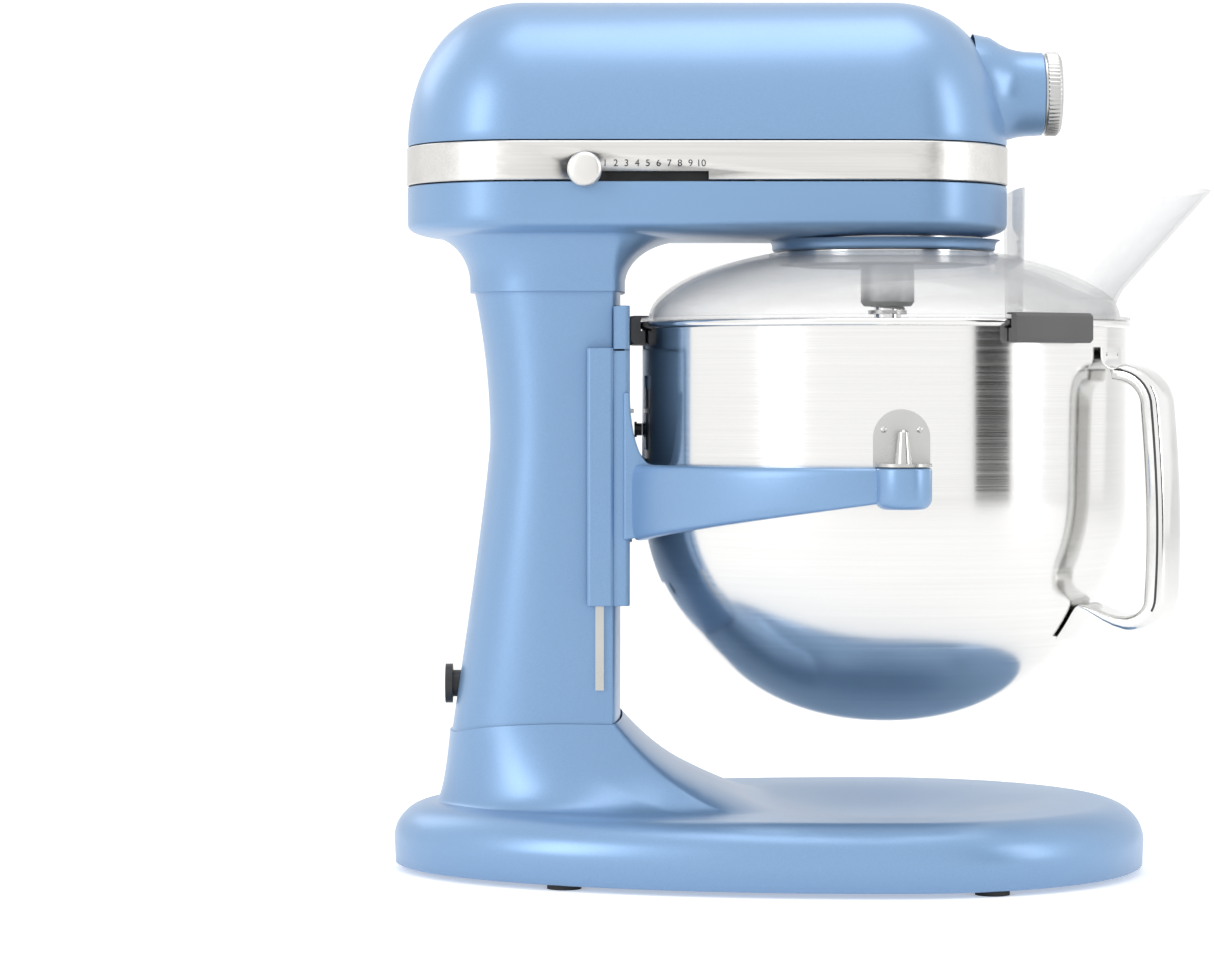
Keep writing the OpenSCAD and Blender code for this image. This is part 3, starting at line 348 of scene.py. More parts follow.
def noise_at(tree: Tree, scale: object, detail: float = 3.0, stretch: Optional[Socket] = None) -> Socket:
    """Adds noise in object coordinates, stretched by a vector where one is given, and returns its value."""
    place = tree.nodes.new("ShaderNodeTexCoord").outputs["Object"]
    if stretch is not None:
        mapping = tree.nodes.new("ShaderNodeVectorMath")
        mapping.operation = "MULTIPLY"
        tree.links.new(place, mapping.inputs[0])
        tree.links.new(stretch, mapping.inputs[1])
        place = mapping.outputs["Vector"]
    noise = tree.nodes.new("ShaderNodeTexNoise")
    noise.inputs["Detail"].default_value = detail
    tree.links.new(place, noise.inputs["Vector"])
    if isinstance(scale, Socket):
        tree.links.new(scale, noise.inputs["Scale"])
    else:
        noise.inputs["Scale"].default_value = scale
    return noise.outputs["Fac"]


def make_grain() -> Tree:
    """Builds the group for fine grain: a speck mask, a soft cloud mask and a height."""
    tree, source, sink = new_group(
        Effect.GRAIN, {"Speck Scale": 2500.0, "Cloud Scale": 14.0}, ("Speck", "Cloud", "Height")
    )
    speck = noise_at(tree, source.outputs["Speck Scale"], 2.0)
    cloud = noise_at(tree, source.outputs["Cloud Scale"], 4.0)
    for value, name in ((speck, "Speck"), (cloud, "Cloud"), (speck, "Height")):
        tree.links.new(value, sink.inputs[name])
    return tree


def make_brushed() -> Tree:
    """Builds the group for brushed lines: a line mask that is also the height."""
    tree, source, sink = new_group(Effect.BRUSHED, {"Squeeze": (12.0, 900.0, 900.0)}, ("Lines", "Height"))
    fine = math_node(tree, "MULTIPLY", noise_at(tree, 1.0, 2.0, source.outputs["Squeeze"]), 0.65)
    broad = math_node(tree, "MULTIPLY", noise_at(tree, 0.23, 2.0, source.outputs["Squeeze"]), 0.35)
    both = math_node(tree, "ADD", fine, broad)
    for name in ("Lines", "Height"):
        tree.links.new(both, sink.inputs[name])
    return tree


def make_dust() -> Tree:
    """Builds the group for settled dust: a mask on faces that look up, broken by noise."""
    tree, source, sink = new_group(Effect.DUST, {"Amount": 0.05, "Scale": 60.0}, ("Mask",))
    normal = tree.nodes.new("ShaderNodeNewGeometry").outputs["Normal"]
    split = tree.nodes.new("ShaderNodeSeparateXYZ")
    tree.links.new(normal, split.inputs[0])
    up = math_node(tree, "MAXIMUM", split.outputs["Z"], 0.0)
    patches = math_node(tree, "MULTIPLY", up, noise_at(tree, source.outputs["Scale"], 5.0))
    tree.links.new(math_node(tree, "MULTIPLY", patches, source.outputs["Amount"]), sink.inputs["Mask"])
    return tree


def effect_tree(effect: Effect) -> Tree:
    """Returns an effect's node group, built the first time it is asked for."""
    makers = {Effect.GRAIN: make_grain, Effect.BRUSHED: make_brushed, Effect.DUST: make_dust}
    return bpy.data.node_groups.get(effect.value) or makers[effect]()


# ---------------------------------------------------------------- finishes


class Shader:
    """A new material with its Principled shader and short calls that wire it up."""

    def __init__(self, name: str) -> None:
        """Makes the material."""
        self.material = bpy.data.materials.new(name)
        self.material.use_nodes = True
        self.tree = self.material.node_tree
        self.principled = self.tree.nodes["Principled BSDF"]

    def plain(self, **values: object) -> None:
        """Sets sockets of the Principled shader; an underscore stands for a space."""
        for key, value in values.items():
            self.principled.inputs[key.replace("_", " ")].default_value = value

    def effect(self, effect: Effect, **values: object) -> bpy.types.Node:
        """Places a shared effect with its own values and returns the group node."""
        node = self.tree.nodes.new("ShaderNodeGroup")
        node.node_tree = effect_tree(effect)
        for key, value in values.items():
            node.inputs[key.replace("_", " ")].default_value = value
        return node

    def between(self, mask: Socket, low: float, high: float, socket: str,
                window: tuple[float, float] = (0.35, 0.65)) -> None:
        """Feeds a number that a mask moves from low to high into a socket."""
        ramp = self.tree.nodes.new("ShaderNodeMapRange")
        for key, value in zip(("From Min", "From Max", "To Min", "To Max"), (*window, low, high)):
            ramp.inputs[key].default_value = value
        self.tree.links.new(mask, ramp.inputs["Value"])
        self.tree.links.new(ramp.outputs["Result"], self.principled.inputs[socket])

    def blend(self, mask: Socket, low: Colour, high: Colour,
              window: tuple[float, float] = (0.35, 0.65)) -> None:
        """Feeds a colour that a mask moves from low to high into Base Color."""
        ramp = self.tree.nodes.new("ShaderNodeValToRGB")
        for element, place, colour in zip(ramp.color_ramp.elements, window, (low, high)):
            element.position = place
            element.color = (*colour, 1.0)
        self.tree.links.new(mask, ramp.inputs["Fac"])
        self.tree.links.new(ramp.outputs["Color"], self.principled.inputs["Base Color"])

    def bump(self, height: Socket, strength: float, distance: float) -> None:
        """Feeds a height into the Normal socket through a Bump node."""
        node = self.tree.nodes.new("ShaderNodeBump")
        node.inputs["Strength"].default_value = strength
        node.inputs["Distance"].default_value = distance
        self.tree.links.new(height, node.inputs["Height"])
        self.tree.links.new(node.outputs["Normal"], self.principled.inputs["Normal"])


def shaded(colour: Colour, share: float) -> Colour:
    """Returns a colour made lighter or darker by a share."""
    return tuple(min(1.0, c * share) for c in colour)


@dataclass(frozen=True)
class SatinEnamel:
    """Satin metallic enamel baked onto a casting: fine flake under a soft coat."""

    name: str
    colour: Colour
    roughness: float = 0.36
    metal: float = 0.35

    def material(self) -> bpy.types.Material:
        """Builds the material."""
        shader = Shader(self.name)
        grain = shader.effect(Effect.GRAIN, Speck_Scale=3200.0, Cloud_Scale=11.0)
        shader.blend(grain.outputs["Speck"], shaded(self.colour, 0.93), shaded(self.colour, 1.06))
        shader.between(grain.outputs["Cloud"], self.roughness - 0.03, self.roughness + 0.04, "Roughness")
        shader.bump(grain.outputs["Height"], 0.035, 0.00004)
        shader.plain(Metallic=self.metal, Coat_Weight=0.25, Coat_Roughness=0.22)
        return shader.material


@dataclass(frozen=True)
class BrushedMetal:
    """Metal brushed in one direction."""

    name: str
    colour: Colour
    brush: Brush
    roughness: float = 0.3
    depth: float = 0.12
    contrast: float = 0.06
    stretch: float = 0.0

    def material(self) -> bpy.types.Material:
        """Builds the material."""
        shader = Shader(self.name)
        lines = shader.effect(Effect.BRUSHED, Squeeze=self.brush.value)
        low, high = shaded(self.colour, 1 - self.contrast), shaded(self.colour, 1 + self.contrast)
        shader.blend(lines.outputs["Lines"], low, high)
        shader.between(lines.outputs["Lines"], self.roughness - 0.03, self.roughness + 0.04, "Roughness")
        shader.bump(lines.outputs["Height"], self.depth, 0.00005)
        shader.plain(Metallic=1.0, Anisotropic=self.stretch, Anisotropic_Rotation=0.25)
        return shader.material


@dataclass(frozen=True)
class PolishedMetal:
    """Polished or satin metal with faint smears."""

    name: str
    colour: Colour
    roughness: float = 0.12

    def material(self) -> bpy.types.Material:
        """Builds the material."""
        shader = Shader(self.name)
        grain = shader.effect(Effect.GRAIN, Speck_Scale=1800.0, Cloud_Scale=35.0)
        shader.blend(grain.outputs["Cloud"], shaded(self.colour, 0.96), shaded(self.colour, 1.03))
        shader.between(grain.outputs["Cloud"], self.roughness * 0.8, self.roughness * 1.35, "Roughness")
        shader.bump(grain.outputs["Height"], 0.03, 0.00003)
        shader.plain(Metallic=1.0)
        return shader.material


@dataclass(frozen=True)
class MouldedSurface:
    """Moulded plastic or rubber with a fine texture and a trace of dust."""

    name: str
    colour: Colour
    roughness: float = 0.5
    dust: float = 0.06

    def material(self) -> bpy.types.Material:
        """Builds the material."""
        shader = Shader(self.name)
        grain = shader.effect(Effect.GRAIN, Speck_Scale=1400.0, Cloud_Scale=25.0)
        dust = shader.effect(Effect.DUST, Amount=self.dust * 2, Scale=90.0)
        shader.blend(dust.outputs["Mask"], self.colour, shaded(self.colour, 1.6), (0.0, 0.3))
        shader.between(grain.outputs["Cloud"], self.roughness - 0.06, self.roughness + 0.08, "Roughness")
        shader.bump(grain.outputs["Height"], 0.12, 0.0001)
        return shader.material


@dataclass(frozen=True)
class ClearMoulding:
    """Clear moulded plastic that lets the pieces behind it show."""

    name: str
    colour: Colour
    # Colour for edge-on faces: painted shade, not a colour of the plastic.
    edge: Colour
    clearest: float = 0.06
    rim: float = 0.7

    def material(self) -> bpy.types.Material:
        """Builds the material: almost clear face on, more solid at the edges, and greyed there by painted
        shade.
        """
        shader = Shader(self.name)
        grain = shader.effect(Effect.GRAIN, Speck_Scale=500.0, Cloud_Scale=18.0)
        facing = shader.tree.nodes.new("ShaderNodeLayerWeight")
        facing.inputs["Blend"].default_value = 0.35
        shader.between(facing.outputs["Facing"], self.clearest, self.rim, "Alpha", (0.1, 1.0))
        shader.between(grain.outputs["Cloud"], 0.03, 0.08, "Roughness")
        shader.bump(grain.outputs["Height"], 0.02, 0.00004)
        # Painted shade: the colour greys towards the edge colour where the wall is seen edge on.
        shader.blend(facing.outputs["Facing"], self.colour, self.edge, (0.3, 0.95))
        shader.plain(Specular_IOR_Level=0.75)
        return shader.material


class Paints:
    """Every material of the mixer, by a short name."""

    def __init__(self) -> None:
        """Builds the materials."""
        finishes = [
            SatinEnamel("blue_enamel", (0.2, 0.345, 0.56)),
            BrushedMetal("band_silver", (0.62, 0.61, 0.59), Brush.ALONG_X, 0.34),
            BrushedMetal("bowl_steel", (0.73, 0.725, 0.715), Brush.ROUND_Z, 0.15, 0.04, 0.03, 0.6),
            PolishedMetal("polished_steel", (0.72, 0.72, 0.71), 0.12),
            PolishedMetal("satin_steel", (0.5, 0.5, 0.49), 0.3),
            PolishedMetal("knob_metal", (0.66, 0.65, 0.63), 0.33),
            PolishedMetal("cast_alloy", (0.3, 0.305, 0.31), 0.42),
            PolishedMetal("gear_steel", (0.42, 0.42, 0.43), 0.28),
            PolishedMetal("bronze", (0.62, 0.4, 0.17), 0.3),
            PolishedMetal("copper_winding", (0.6, 0.24, 0.1), 0.35),
            PolishedMetal("lamination_steel", (0.18, 0.18, 0.19), 0.45),
            MouldedSurface("dark_plastic", (0.02, 0.02, 0.022), 0.42),
            MouldedSurface("clip_rubber", (0.085, 0.085, 0.087), 0.5),
            MouldedSurface("foot_rubber", (0.02, 0.02, 0.02), 0.65),
            MouldedSurface("scale_ink", (0.012, 0.012, 0.013), 0.4),
            MouldedSurface("board_green", (0.02, 0.14, 0.06), 0.4),
            # The shield's second colour is painted shade for its edge-on faces.
            ClearMoulding("clear_plastic", (0.86, 0.87, 0.88), (0.3, 0.3, 0.31)),
        ]
        self.by_name = {finish.name: finish.material() for finish in finishes}

    def dress(self, piece: bpy.types.Object, name: str) -> bpy.types.Object:
        """Gives a piece one of the materials and returns it."""
        piece.data.materials.clear()
        piece.data.materials.append(self.by_name[name])
        return piece


# ---------------------------------------------------------------- the mixer's places


@dataclass(frozen=True)
class Layout:
    """Heights and places that several pieces share, read from the CAD boxes."""

    bowl_x: float
    rim_z: float
    bowl_radius: float
    seat_z: float
    column_top: float
    column_front: float
    column_half_width: float
    head_front: float
    head_back: float
    head_half_width: float
    band_z: float
    cover_z: float
    head_top: float
    boss_z: float
    hub_z: float
    hub_end: float
    pad_z: float

    @staticmethod
    def read() -> "Layout":
        """Reads the layout from the CAD nodes' boxes."""
        bowl_low, bowl_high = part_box("bowl")
        column_low, column_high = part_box("column")
        band_low, band_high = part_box("trim_band")
        lower_low, lower_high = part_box("lower_housing")
        cap_low, cap_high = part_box("hub_cap")
        bead = 2.4 * MM
        return Layout(
            bowl_x=(bowl_low.x + bowl_high.x) / 2,
            rim_z=bowl_high.z,
            bowl_radius=(bowl_high.x - bowl_low.x) / 2 - bead,
            seat_z=column_low.z,
            column_top=column_high.z,
            column_front=column_high.x,
            column_half_width=column_high.y,
            head_front=lower_high.x,
            head_back=lower_low.x,
            head_half_width=lower_high.y,
            band_z=band_low.z,
            cover_z=band_high.z,
            head_top=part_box("upper_housing")[1].z,
            boss_z=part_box("planet_carrier")[1].z + 0.4 * MM,
            hub_z=(cap_low.z + cap_high.z) / 2,
            hub_end=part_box("hub_sleeve")[1].x,
            pad_z=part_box("bowl_brackets")[0].z - 0.3 * MM,
        )


def frame_range(joint: str) -> Flat:
    """Returns a slide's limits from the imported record."""
    for row in FRAME["joints"]:
        if row["name"] == joint:
            return tuple(row["range_m"])
    raise ValueError(f"no joint named {joint}")


@dataclass
class Assembly:
    """What every sub-assembly is made from: the shared places and the paints."""

    at: Layout
    paints: Paints

    def put(self, piece: bpy.types.Object, finish: str, body: str, slot: str, *nodes: str) -> None:
        """Dresses a piece, puts it on its body and lets it stand for CAD nodes.

        Args:
            piece: The piece.
            finish: The name of its material.
            body: The CAD body it moves with.
            slot: Not used.
            *nodes: The CAD nodes it stands for.
        """
        self.paints.dress(piece, finish)
        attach(piece, body)
        if nodes:
            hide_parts(*nodes)
        LOG.info("built %s on %s", piece.name, body)


@dataclass
class Base(Assembly):
    """The oval cast base, with its collar and the shallow dish under the bowl."""

    edge: float = 20 * MM
    edge_h: float = 18 * MM
    rim_h: float = 33 * MM
    dish_depth: float = 9 * MM
    dish_radius: float = 90 * MM
    foot_h: float = 2.5 * MM
    flat: float = 8 * MM
    collar_side: float = 27 * MM
    collar_front: float = 76 * MM
    lip: float = 7.5 * MM
    lip_length: float = 30 * MM
    wall: float = 5 * MM

    def plan(self, inset: float) -> Plan:
        """Returns the base's outline, moved inwards."""
        low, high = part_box("base")
        x = self.at.bowl_x
        front = high.x - x
        return Plan(x - self.flat, x, x - self.flat - low.x - inset, front - inset, high.y - inset)

    def dish(self, x: float, y: float) -> float:
        """Returns how deep the dish is at a point."""
        away = math.hypot(x - self.at.bowl_x, y)
        if away >= self.dish_radius:
            return 0.0
        return self.dish_depth * (1 + math.cos(math.pi * away / self.dish_radius)) / 2

    def top_ring(self, share: float, inset: float, grow: float, drop: float) -> Ring:
        """Makes a ring of the upper surface.

        Args:
            share: From the column's seat (0) to the rim (1).
            inset: Moves the rim inwards.
            grow: Moves the seat outwards.
            drop: Lowers the whole ring.

        Returns:
            The points.
        """
        seat = Column(self.at, self.paints).plan(self.at.seat_z).grown(grow).ring(0)
        rim = self.plan(inset).ring(0)
        rise = self.at.seat_z - self.rim_h
        points: Ring = []
        for a, b in zip(seat, rim):
            span = math.hypot(b[0] - a[0], b[1] - a[1])
            ahead = max(0.0, (b[0] - a[0]) / span) ** 3
            reach = min(span, self.collar_side + (self.collar_front - self.collar_side) * ahead)
            collar = rise * max(0.0, 1 - share * span / reach) ** (2.1 - 0.7 * ahead)
            collar += self.lip * ahead * max(0.0, 1 - share * span / self.lip_length) ** 2
            x = a[0] + (b[0] - a[0]) * share
            y = a[1] + (b[1] - a[1]) * share
            points.append((x, y, self.rim_h + collar - self.dish(x, y) - drop))
        return points

    def build(self) -> None:
        """Builds and dresses the base."""
        rings = [self.top_ring(i / 16, 26 * MM, -self.wall, 6 * MM) for i in range(17)]
        for inset, lift in ((22 * MM, 0), (2 * MM, 0), (0.6 * MM, 0.8 * MM)):
            rings.append(self.plan(inset).ring(self.foot_h + lift))
        lines = arc((self.edge, self.rim_h - self.edge_h), (-self.edge, self.edge_h), range(0, 91, 5))
        rings += [self.plan(inset).ring(z) for inset, z in lines]
        rings += [self.top_ring((1 - i / 60) ** 1.35, self.edge, 1 * MM, 0.0) for i in range(1, 61)]
        rings.append(Column(self.at, self.paints).plan(self.at.seat_z).grown(0.3 * MM).ring(self.at.seat_z))
        piece = lofted("base_casting", rings, sharp=60)
        self.put(piece, "blue_enamel", "mixer", "enamel", "base")


@dataclass
class Column(Assembly):
    """The upright between base and head, slightly waisted at the back."""

    corner: float = 4.5 * MM
    depth: float = 63 * MM
    middle: float = 30 * MM
    waist_share: float = 0.66
    foot_flare: float = 18.5 * MM
    top_flare: float = 7.5 * MM

    def back_reach(self, z: float) -> float:
        """Returns how far the back stands behind the front face at a height."""
        waist = self.at.seat_z + (self.at.column_top - self.at.seat_z) * self.waist_share
        if z < waist:
            return self.depth + self.foot_flare * max(0.0, (waist - z) / (waist - self.at.seat_z)) ** 1.15
        return self.depth + self.top_flare * ((z - waist) / (self.at.column_top - waist)) ** 2

    def plan(self, z: float) -> Plan:
        """Returns the column's outline at a height."""
        front = self.at.column_front
        return Plan(
            front - self.middle, front - self.corner, self.back_reach(z) - self.middle, self.corner,
            self.at.column_half_width, 2.4, 2.4,
        )

    def build(self) -> None:
        """Builds the column with the slot for the lift yoke."""
        low, high = self.at.seat_z, self.at.column_top
        heights = [low + (high - low) * i / 40 for i in range(41)]
        piece = lofted("column_casting", [self.plan(z).ring(z) for z in heights], sharp=50)
        yoke_low, yoke_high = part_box("lift_yoke")
        travel = -frame_range("bowl_lift_slide")[0]
        slot = block(
            "yoke_slot",
            (self.at.column_front - 9 * MM, yoke_low.y - 2 * MM, yoke_low.z - travel - 2 * MM),
            (self.at.column_front + 5 * MM, yoke_high.y + 2 * MM, yoke_high.z + 2 * MM),
        )
        cut_away(piece, slot)
        self.put(piece, "blue_enamel", "mixer", "enamel", "column")


@dataclass
class Head(Assembly):
    """The head's lower and upper housings, the band between them and the attachment barrel."""

    nose: float = 56.5 * MM
    tail: float = 57 * MM
    belly: float = 9 * MM
    boss_radius: float = 54 * MM
    boss_h: float = 5 * MM
    barrel: float = 20 * MM
    bore: float = 15 * MM
    bore_depth: float = 17 * MM
    crown_power: float = 2 / 2.15
    belly_power: float = 2 / 3
    band_t: float = 3.5 * MM
    seam: float = 0.7 * MM
    seam_lip: float = 0.35 * MM
    seam_depth: float = 1.6 * MM

    def plan(self, inset: float = 0.0) -> Plan:
        """Returns the head's outline, moved inwards."""
        return Plan(
            self.at.head_back + self.tail, self.at.head_front - self.nose, self.tail - inset,
            self.nose - inset, self.at.head_half_width - inset,
        )

    @property
    def wall_z(self) -> float:
        """Height at which the belly's curve ends and the side walls begin."""
        return self.at.boss_z + self.boss_h + self.belly

    def belly_z(self, x: float, y: float) -> float:
        """Returns the belly's height at a point of the plan."""
        plan = self.plan()
        share = abs(y) / plan.half_width
        if x > plan.front_centre:
            share = math.hypot((x - plan.front_centre) / plan.front, y / plan.half_width)
        if x < plan.back_centre:
            share = math.hypot((x - plan.back_centre) / plan.back, y / plan.half_width)
        turn = math.acos(min(1.0, share) ** 1.5)
        return self.wall_z - self.belly * math.sin(turn) ** self.belly_power

    def neck_rings(self) -> list[Ring]:
        """Makes the neck's rings: a quarter-round flare from the column's top out to the belly."""
        top = Column(self.at, self.paints).plan(self.at.column_top)
        inner = top.grown(2.2 * MM).ring(self.at.column_top)
        outer = Plan(
            top.back_centre, top.front_centre, top.back + 24 * MM, top.front + 32 * MM, 57 * MM, 2.3, 2.3
        ).ring(0)
        start = self.at.column_top + 4 * MM
        rings: list[Ring] = [top.grown(0.9 * MM).ring(self.at.column_top), inner]
        for i in range(1, 27):
            turn = math.pi / 2 * i / 26
            out, up = 1 - math.cos(turn), math.sin(turn)
            rings.append([
                (a[0] + (b[0] - a[0]) * out, a[1] + (b[1] - a[1]) * out,
                 start + (self.belly_z(b[0], b[1]) + 0.4 * MM - start) * up)
                for a, b in zip(inner, outer)
            ])
        return rings

    def build_lower(self) -> None:
        """Builds the lower housing: belly, neck and the boss over the bowl."""
        hull: list[Ring] = []
        for degrees in (88.5, 86, 82, 76, 69, 61, 53, 45, 37, 30, 23, 17, 11, 6, 2):
            turn = math.radians(degrees)
            share, drop = math.cos(turn) ** self.belly_power, math.sin(turn) ** self.belly_power
            hull.append(self.plan().scaled(share).ring(self.wall_z - self.belly * drop))
        top = self.at.band_z
        lines = [(0.0, self.wall_z + 2 * MM), (0.0, top - 1.0 * MM), (self.seam_lip, top - self.seam),
                 (self.seam_depth, top - self.seam)]
        hull += [self.plan(inset).ring(z) for inset, z in lines]
        low, root = self.at.boss_z, self.at.boss_z + self.boss_h
        rim, fillet = 1.5 * MM, 3 * MM
        profile = [
            (49 * MM, low + 0.6 * MM), (self.boss_radius - rim, low),
            *arc((self.boss_radius - rim, low + rim), (rim, rim), (-68, -45, -22, 0)),
            *arc((self.boss_radius + fillet, root - 2.6 * MM), (-fillet, fillet), range(0, 81, 20)),
        ]

        def shape(work: bmesh.types.BMesh) -> None:
            """Adds the three skins of the lower housing."""
            add_rings(work, hull)
            add_rings(work, self.neck_rings())
            add_rings(work, [round_ring((self.at.bowl_x, 0.0, z), r) for r, z in profile])

        piece = mesh_object("lower_housing_shell", shape, 40)
        self.put(piece, "blue_enamel", "mixer", "enamel", "lower_housing")

    def build_upper(self) -> None:
        """Builds the upper housing with the flared barrel of the attachment hub."""
        cover, height = self.at.cover_z, self.at.head_top - self.at.cover_z
        rings = [self.plan(inset).ring(cover + self.seam) for inset in (self.seam_depth, self.seam_lip)]
        for i in range(31):
            turn = math.radians(1.2 + 88.2 * (i / 30))
            share = math.cos(turn) ** self.crown_power
            rings.append(self.plan().scaled(share).ring(cover + height * math.sin(turn) ** self.crown_power))
        bore = [(self.bore, self.bore_depth), (self.bore, 0.4 * MM), (self.bore + 0.4 * MM, 0.0)]
        flare = [
            (-0.6, 0.0), (0.0, 0.6), (0.2, 4), (0.5, 9), (1.1, 13), (2.2, 17), (4.2, 21), (7.4, 26), (9, 34),
        ]
        profile = bore + [(self.barrel + out * MM, back * MM) for out, back in flare]
        hub = (0.0, 0.0, self.at.hub_z)
        barrel = [upright_ring("X", hub, self.at.hub_end - back, r) for r, back in profile]

        def shape(work: bmesh.types.BMesh) -> None:
            """Adds the cover's skin and the barrel's."""
            add_rings(work, rings)
            add_rings(work, barrel, caps=False)

        piece = mesh_object("upper_housing_shell", shape, 40)
        self.put(piece, "blue_enamel", "mixer", "enamel", "upper_housing", "hub_sleeve")

    def build_band(self) -> None:
        """Builds the metal band with the slot of the speed control in its lower edge."""
        low, high = self.at.band_z, self.at.cover_z
        skin, edge = -0.4 * MM, 0.5 * MM
        lines = [
            (self.band_t, low), (skin + edge, low), (skin, low + edge),
            (skin, high - edge), (skin + edge, high), (self.band_t, high),
        ]
        piece = lofted("head_band", [self.plan(inset).ring(z) for inset, z in lines], loop=True, sharp=30)
        knob_low, knob_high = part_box("speed_knob")
        middle = (knob_low.x + knob_high.x) / 2
        travel = frame_range("speed_slide")[1]
        side, end = -self.at.head_half_width, 3.2 * MM
        cut_away(piece, block(
            "band_slot", (middle - end, side - 5 * MM, low - 1 * MM),
            (middle + travel + end, side + 10 * MM, low + 4.1 * MM),
        ))
        self.put(piece, "band_silver", "mixer", "brushed_silver", "trim_band")
        self.build_scale(middle, travel)

    def build_scale(self, start: float, travel: float) -> None:
        """Puts the speed numbers above the slot.

        Args:
            start: The knob's place at its off end.
            travel: How far the knob slides.
        """
        first = start + 9.6 * MM
        step = (travel - 10 * MM) / 9
        upright = Matrix.Rotation(math.radians(90), 4, "X")
        for number in range(1, 11):
            curve = bpy.data.curves.new(f"speed_number_{number}", "FONT")
            curve.body = str(number)
            curve.size = 4.6 * MM
            curve.align_x = "CENTER"
            curve.align_y = "CENTER"
            curve.extrude = 0.03 * MM
            flat = bpy.data.objects.new(f"speed_text_{number}", curve)
            bpy.context.scene.collection.objects.link(flat)
            depsgraph = bpy.context.evaluated_depsgraph_get()
            mesh = bpy.data.meshes.new_from_object(flat.evaluated_get(depsgraph))
            bpy.data.objects.remove(flat)
            x = first + step * (number - 1)
            spot = (x, -self.at.head_half_width - 0.43 * MM, self.at.band_z + 7.6 * MM)
            mesh.transform(Matrix.Translation(spot) @ upright)
            piece = bpy.data.objects.new(f"speed_number_{number}", mesh)
            bpy.context.scene.collection.objects.link(piece)
            self.put(piece, "scale_ink", "mixer", "dark_plastic")

    def build(self) -> None:
        """Builds the whole head."""
        self.build_lower()
        self.build_upper()
        self.build_band()


@dataclass
class Controls(Assembly):
    """The speed knob, the hub's cap and the hub's thumbscrew."""

    ridges: int = 60
    knurl: float = 0.35 * MM
    lobes: int = 8

    def build_speed_knob(self) -> None:
        """Builds the domed speed knob."""
        low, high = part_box("speed_knob")
        radius, deep = (high.x - low.x) / 2, high.y - low.y
        profile = [
            (radius * 0.4, 0.0), (radius - 0.3 * MM, 0.0), (radius, 0.4 * MM), (radius, deep - 2.4 * MM),
            (radius - 0.3 * MM, deep - 1.7 * MM), (radius - 1.0 * MM, deep - 1.0 * MM),
            (radius - 2.2 * MM, deep - 0.45 * MM), (radius * 0.45, deep - 0.1 * MM), (radius * 0.1, deep),
        ]
        rings = [upright_ring("Y", (low + high) / 2, high.y - out, r, 64) for r, out in profile]
        piece = lofted("speed_knob_cap", rings, sharp=45)
        self.put(piece, "knob_metal", "speed_control", "satin_knob", "speed_knob")

    def build_hub_cap(self) -> None:
        """Builds the hub's cap with its knurled edge and plain face."""
        low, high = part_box("hub_cap")
        radius, back, face = (high.y - low.y) / 2, low.x, high.x
        profile = [
            (radius - 6 * MM, back, 0), (radius - 1.4 * MM, back, 0), (radius - 1.4 * MM, back + 0.9 * MM, 0),
            (radius - 0.5 * MM, back + 1.0 * MM, 0), (radius, back + 1.3 * MM, self.knurl),
            (radius, face - 1.6 * MM, self.knurl), (radius - 0.7 * MM, face - 0.9 * MM, 0),
            (radius - 1.8 * MM, face, 0), (radius - 2.6 * MM, face, 0),
            (radius - 3.0 * MM, face - 0.5 * MM, 0), (radius * 0.3, face - 0.3 * MM, 0),
        ]
        hub = (0.0, 0.0, self.at.hub_z)
        rings = [upright_ring("X", hub, x, r, self.ridges * 6, self.ridges, deep) for r, x, deep in profile]
        piece = lofted("hub_cap_knurled", rings, sharp=35)
        self.put(piece, "satin_steel", "hub_cover", "chrome_cap", "hub_cap")

    def build_hub_knob(self) -> None:
        """Builds the lobed thumbscrew that clamps an attachment."""
        low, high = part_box("hub_knob")
        radius, back, face = (high.x - low.x) / 2, low.y, high.y
        profile = [
            (5.4 * MM, back, 0), (6 * MM, back + 0.6 * MM, 0), (6.2 * MM, back + 3.6 * MM, 0),
            (radius - 1.0 * MM, back + 4.4 * MM, 1.4 * MM), (radius, back + 5.4 * MM, 2.0 * MM),
            (radius - 0.2 * MM, face - 2.0 * MM, 2.0 * MM), (radius - 1.0 * MM, face - 0.6 * MM, 1.6 * MM),
            (radius - 2.4 * MM, face, 1.0 * MM), (3 * MM, face - 0.2 * MM, 0),
        ]
        middle = (low + high) / 2
        rings = [upright_ring("Y", middle, y, r, self.lobes * 16, self.lobes, deep) for r, y, deep in profile]
        piece = lofted("hub_thumbscrew", rings, sharp=40)
        self.put(piece, "dark_plastic", "hub_screw", "dark_plastic", "hub_knob")

    def build(self) -> None:
        """Builds the controls."""
        self.build_speed_knob()
        self.build_hub_cap()
        self.build_hub_knob()


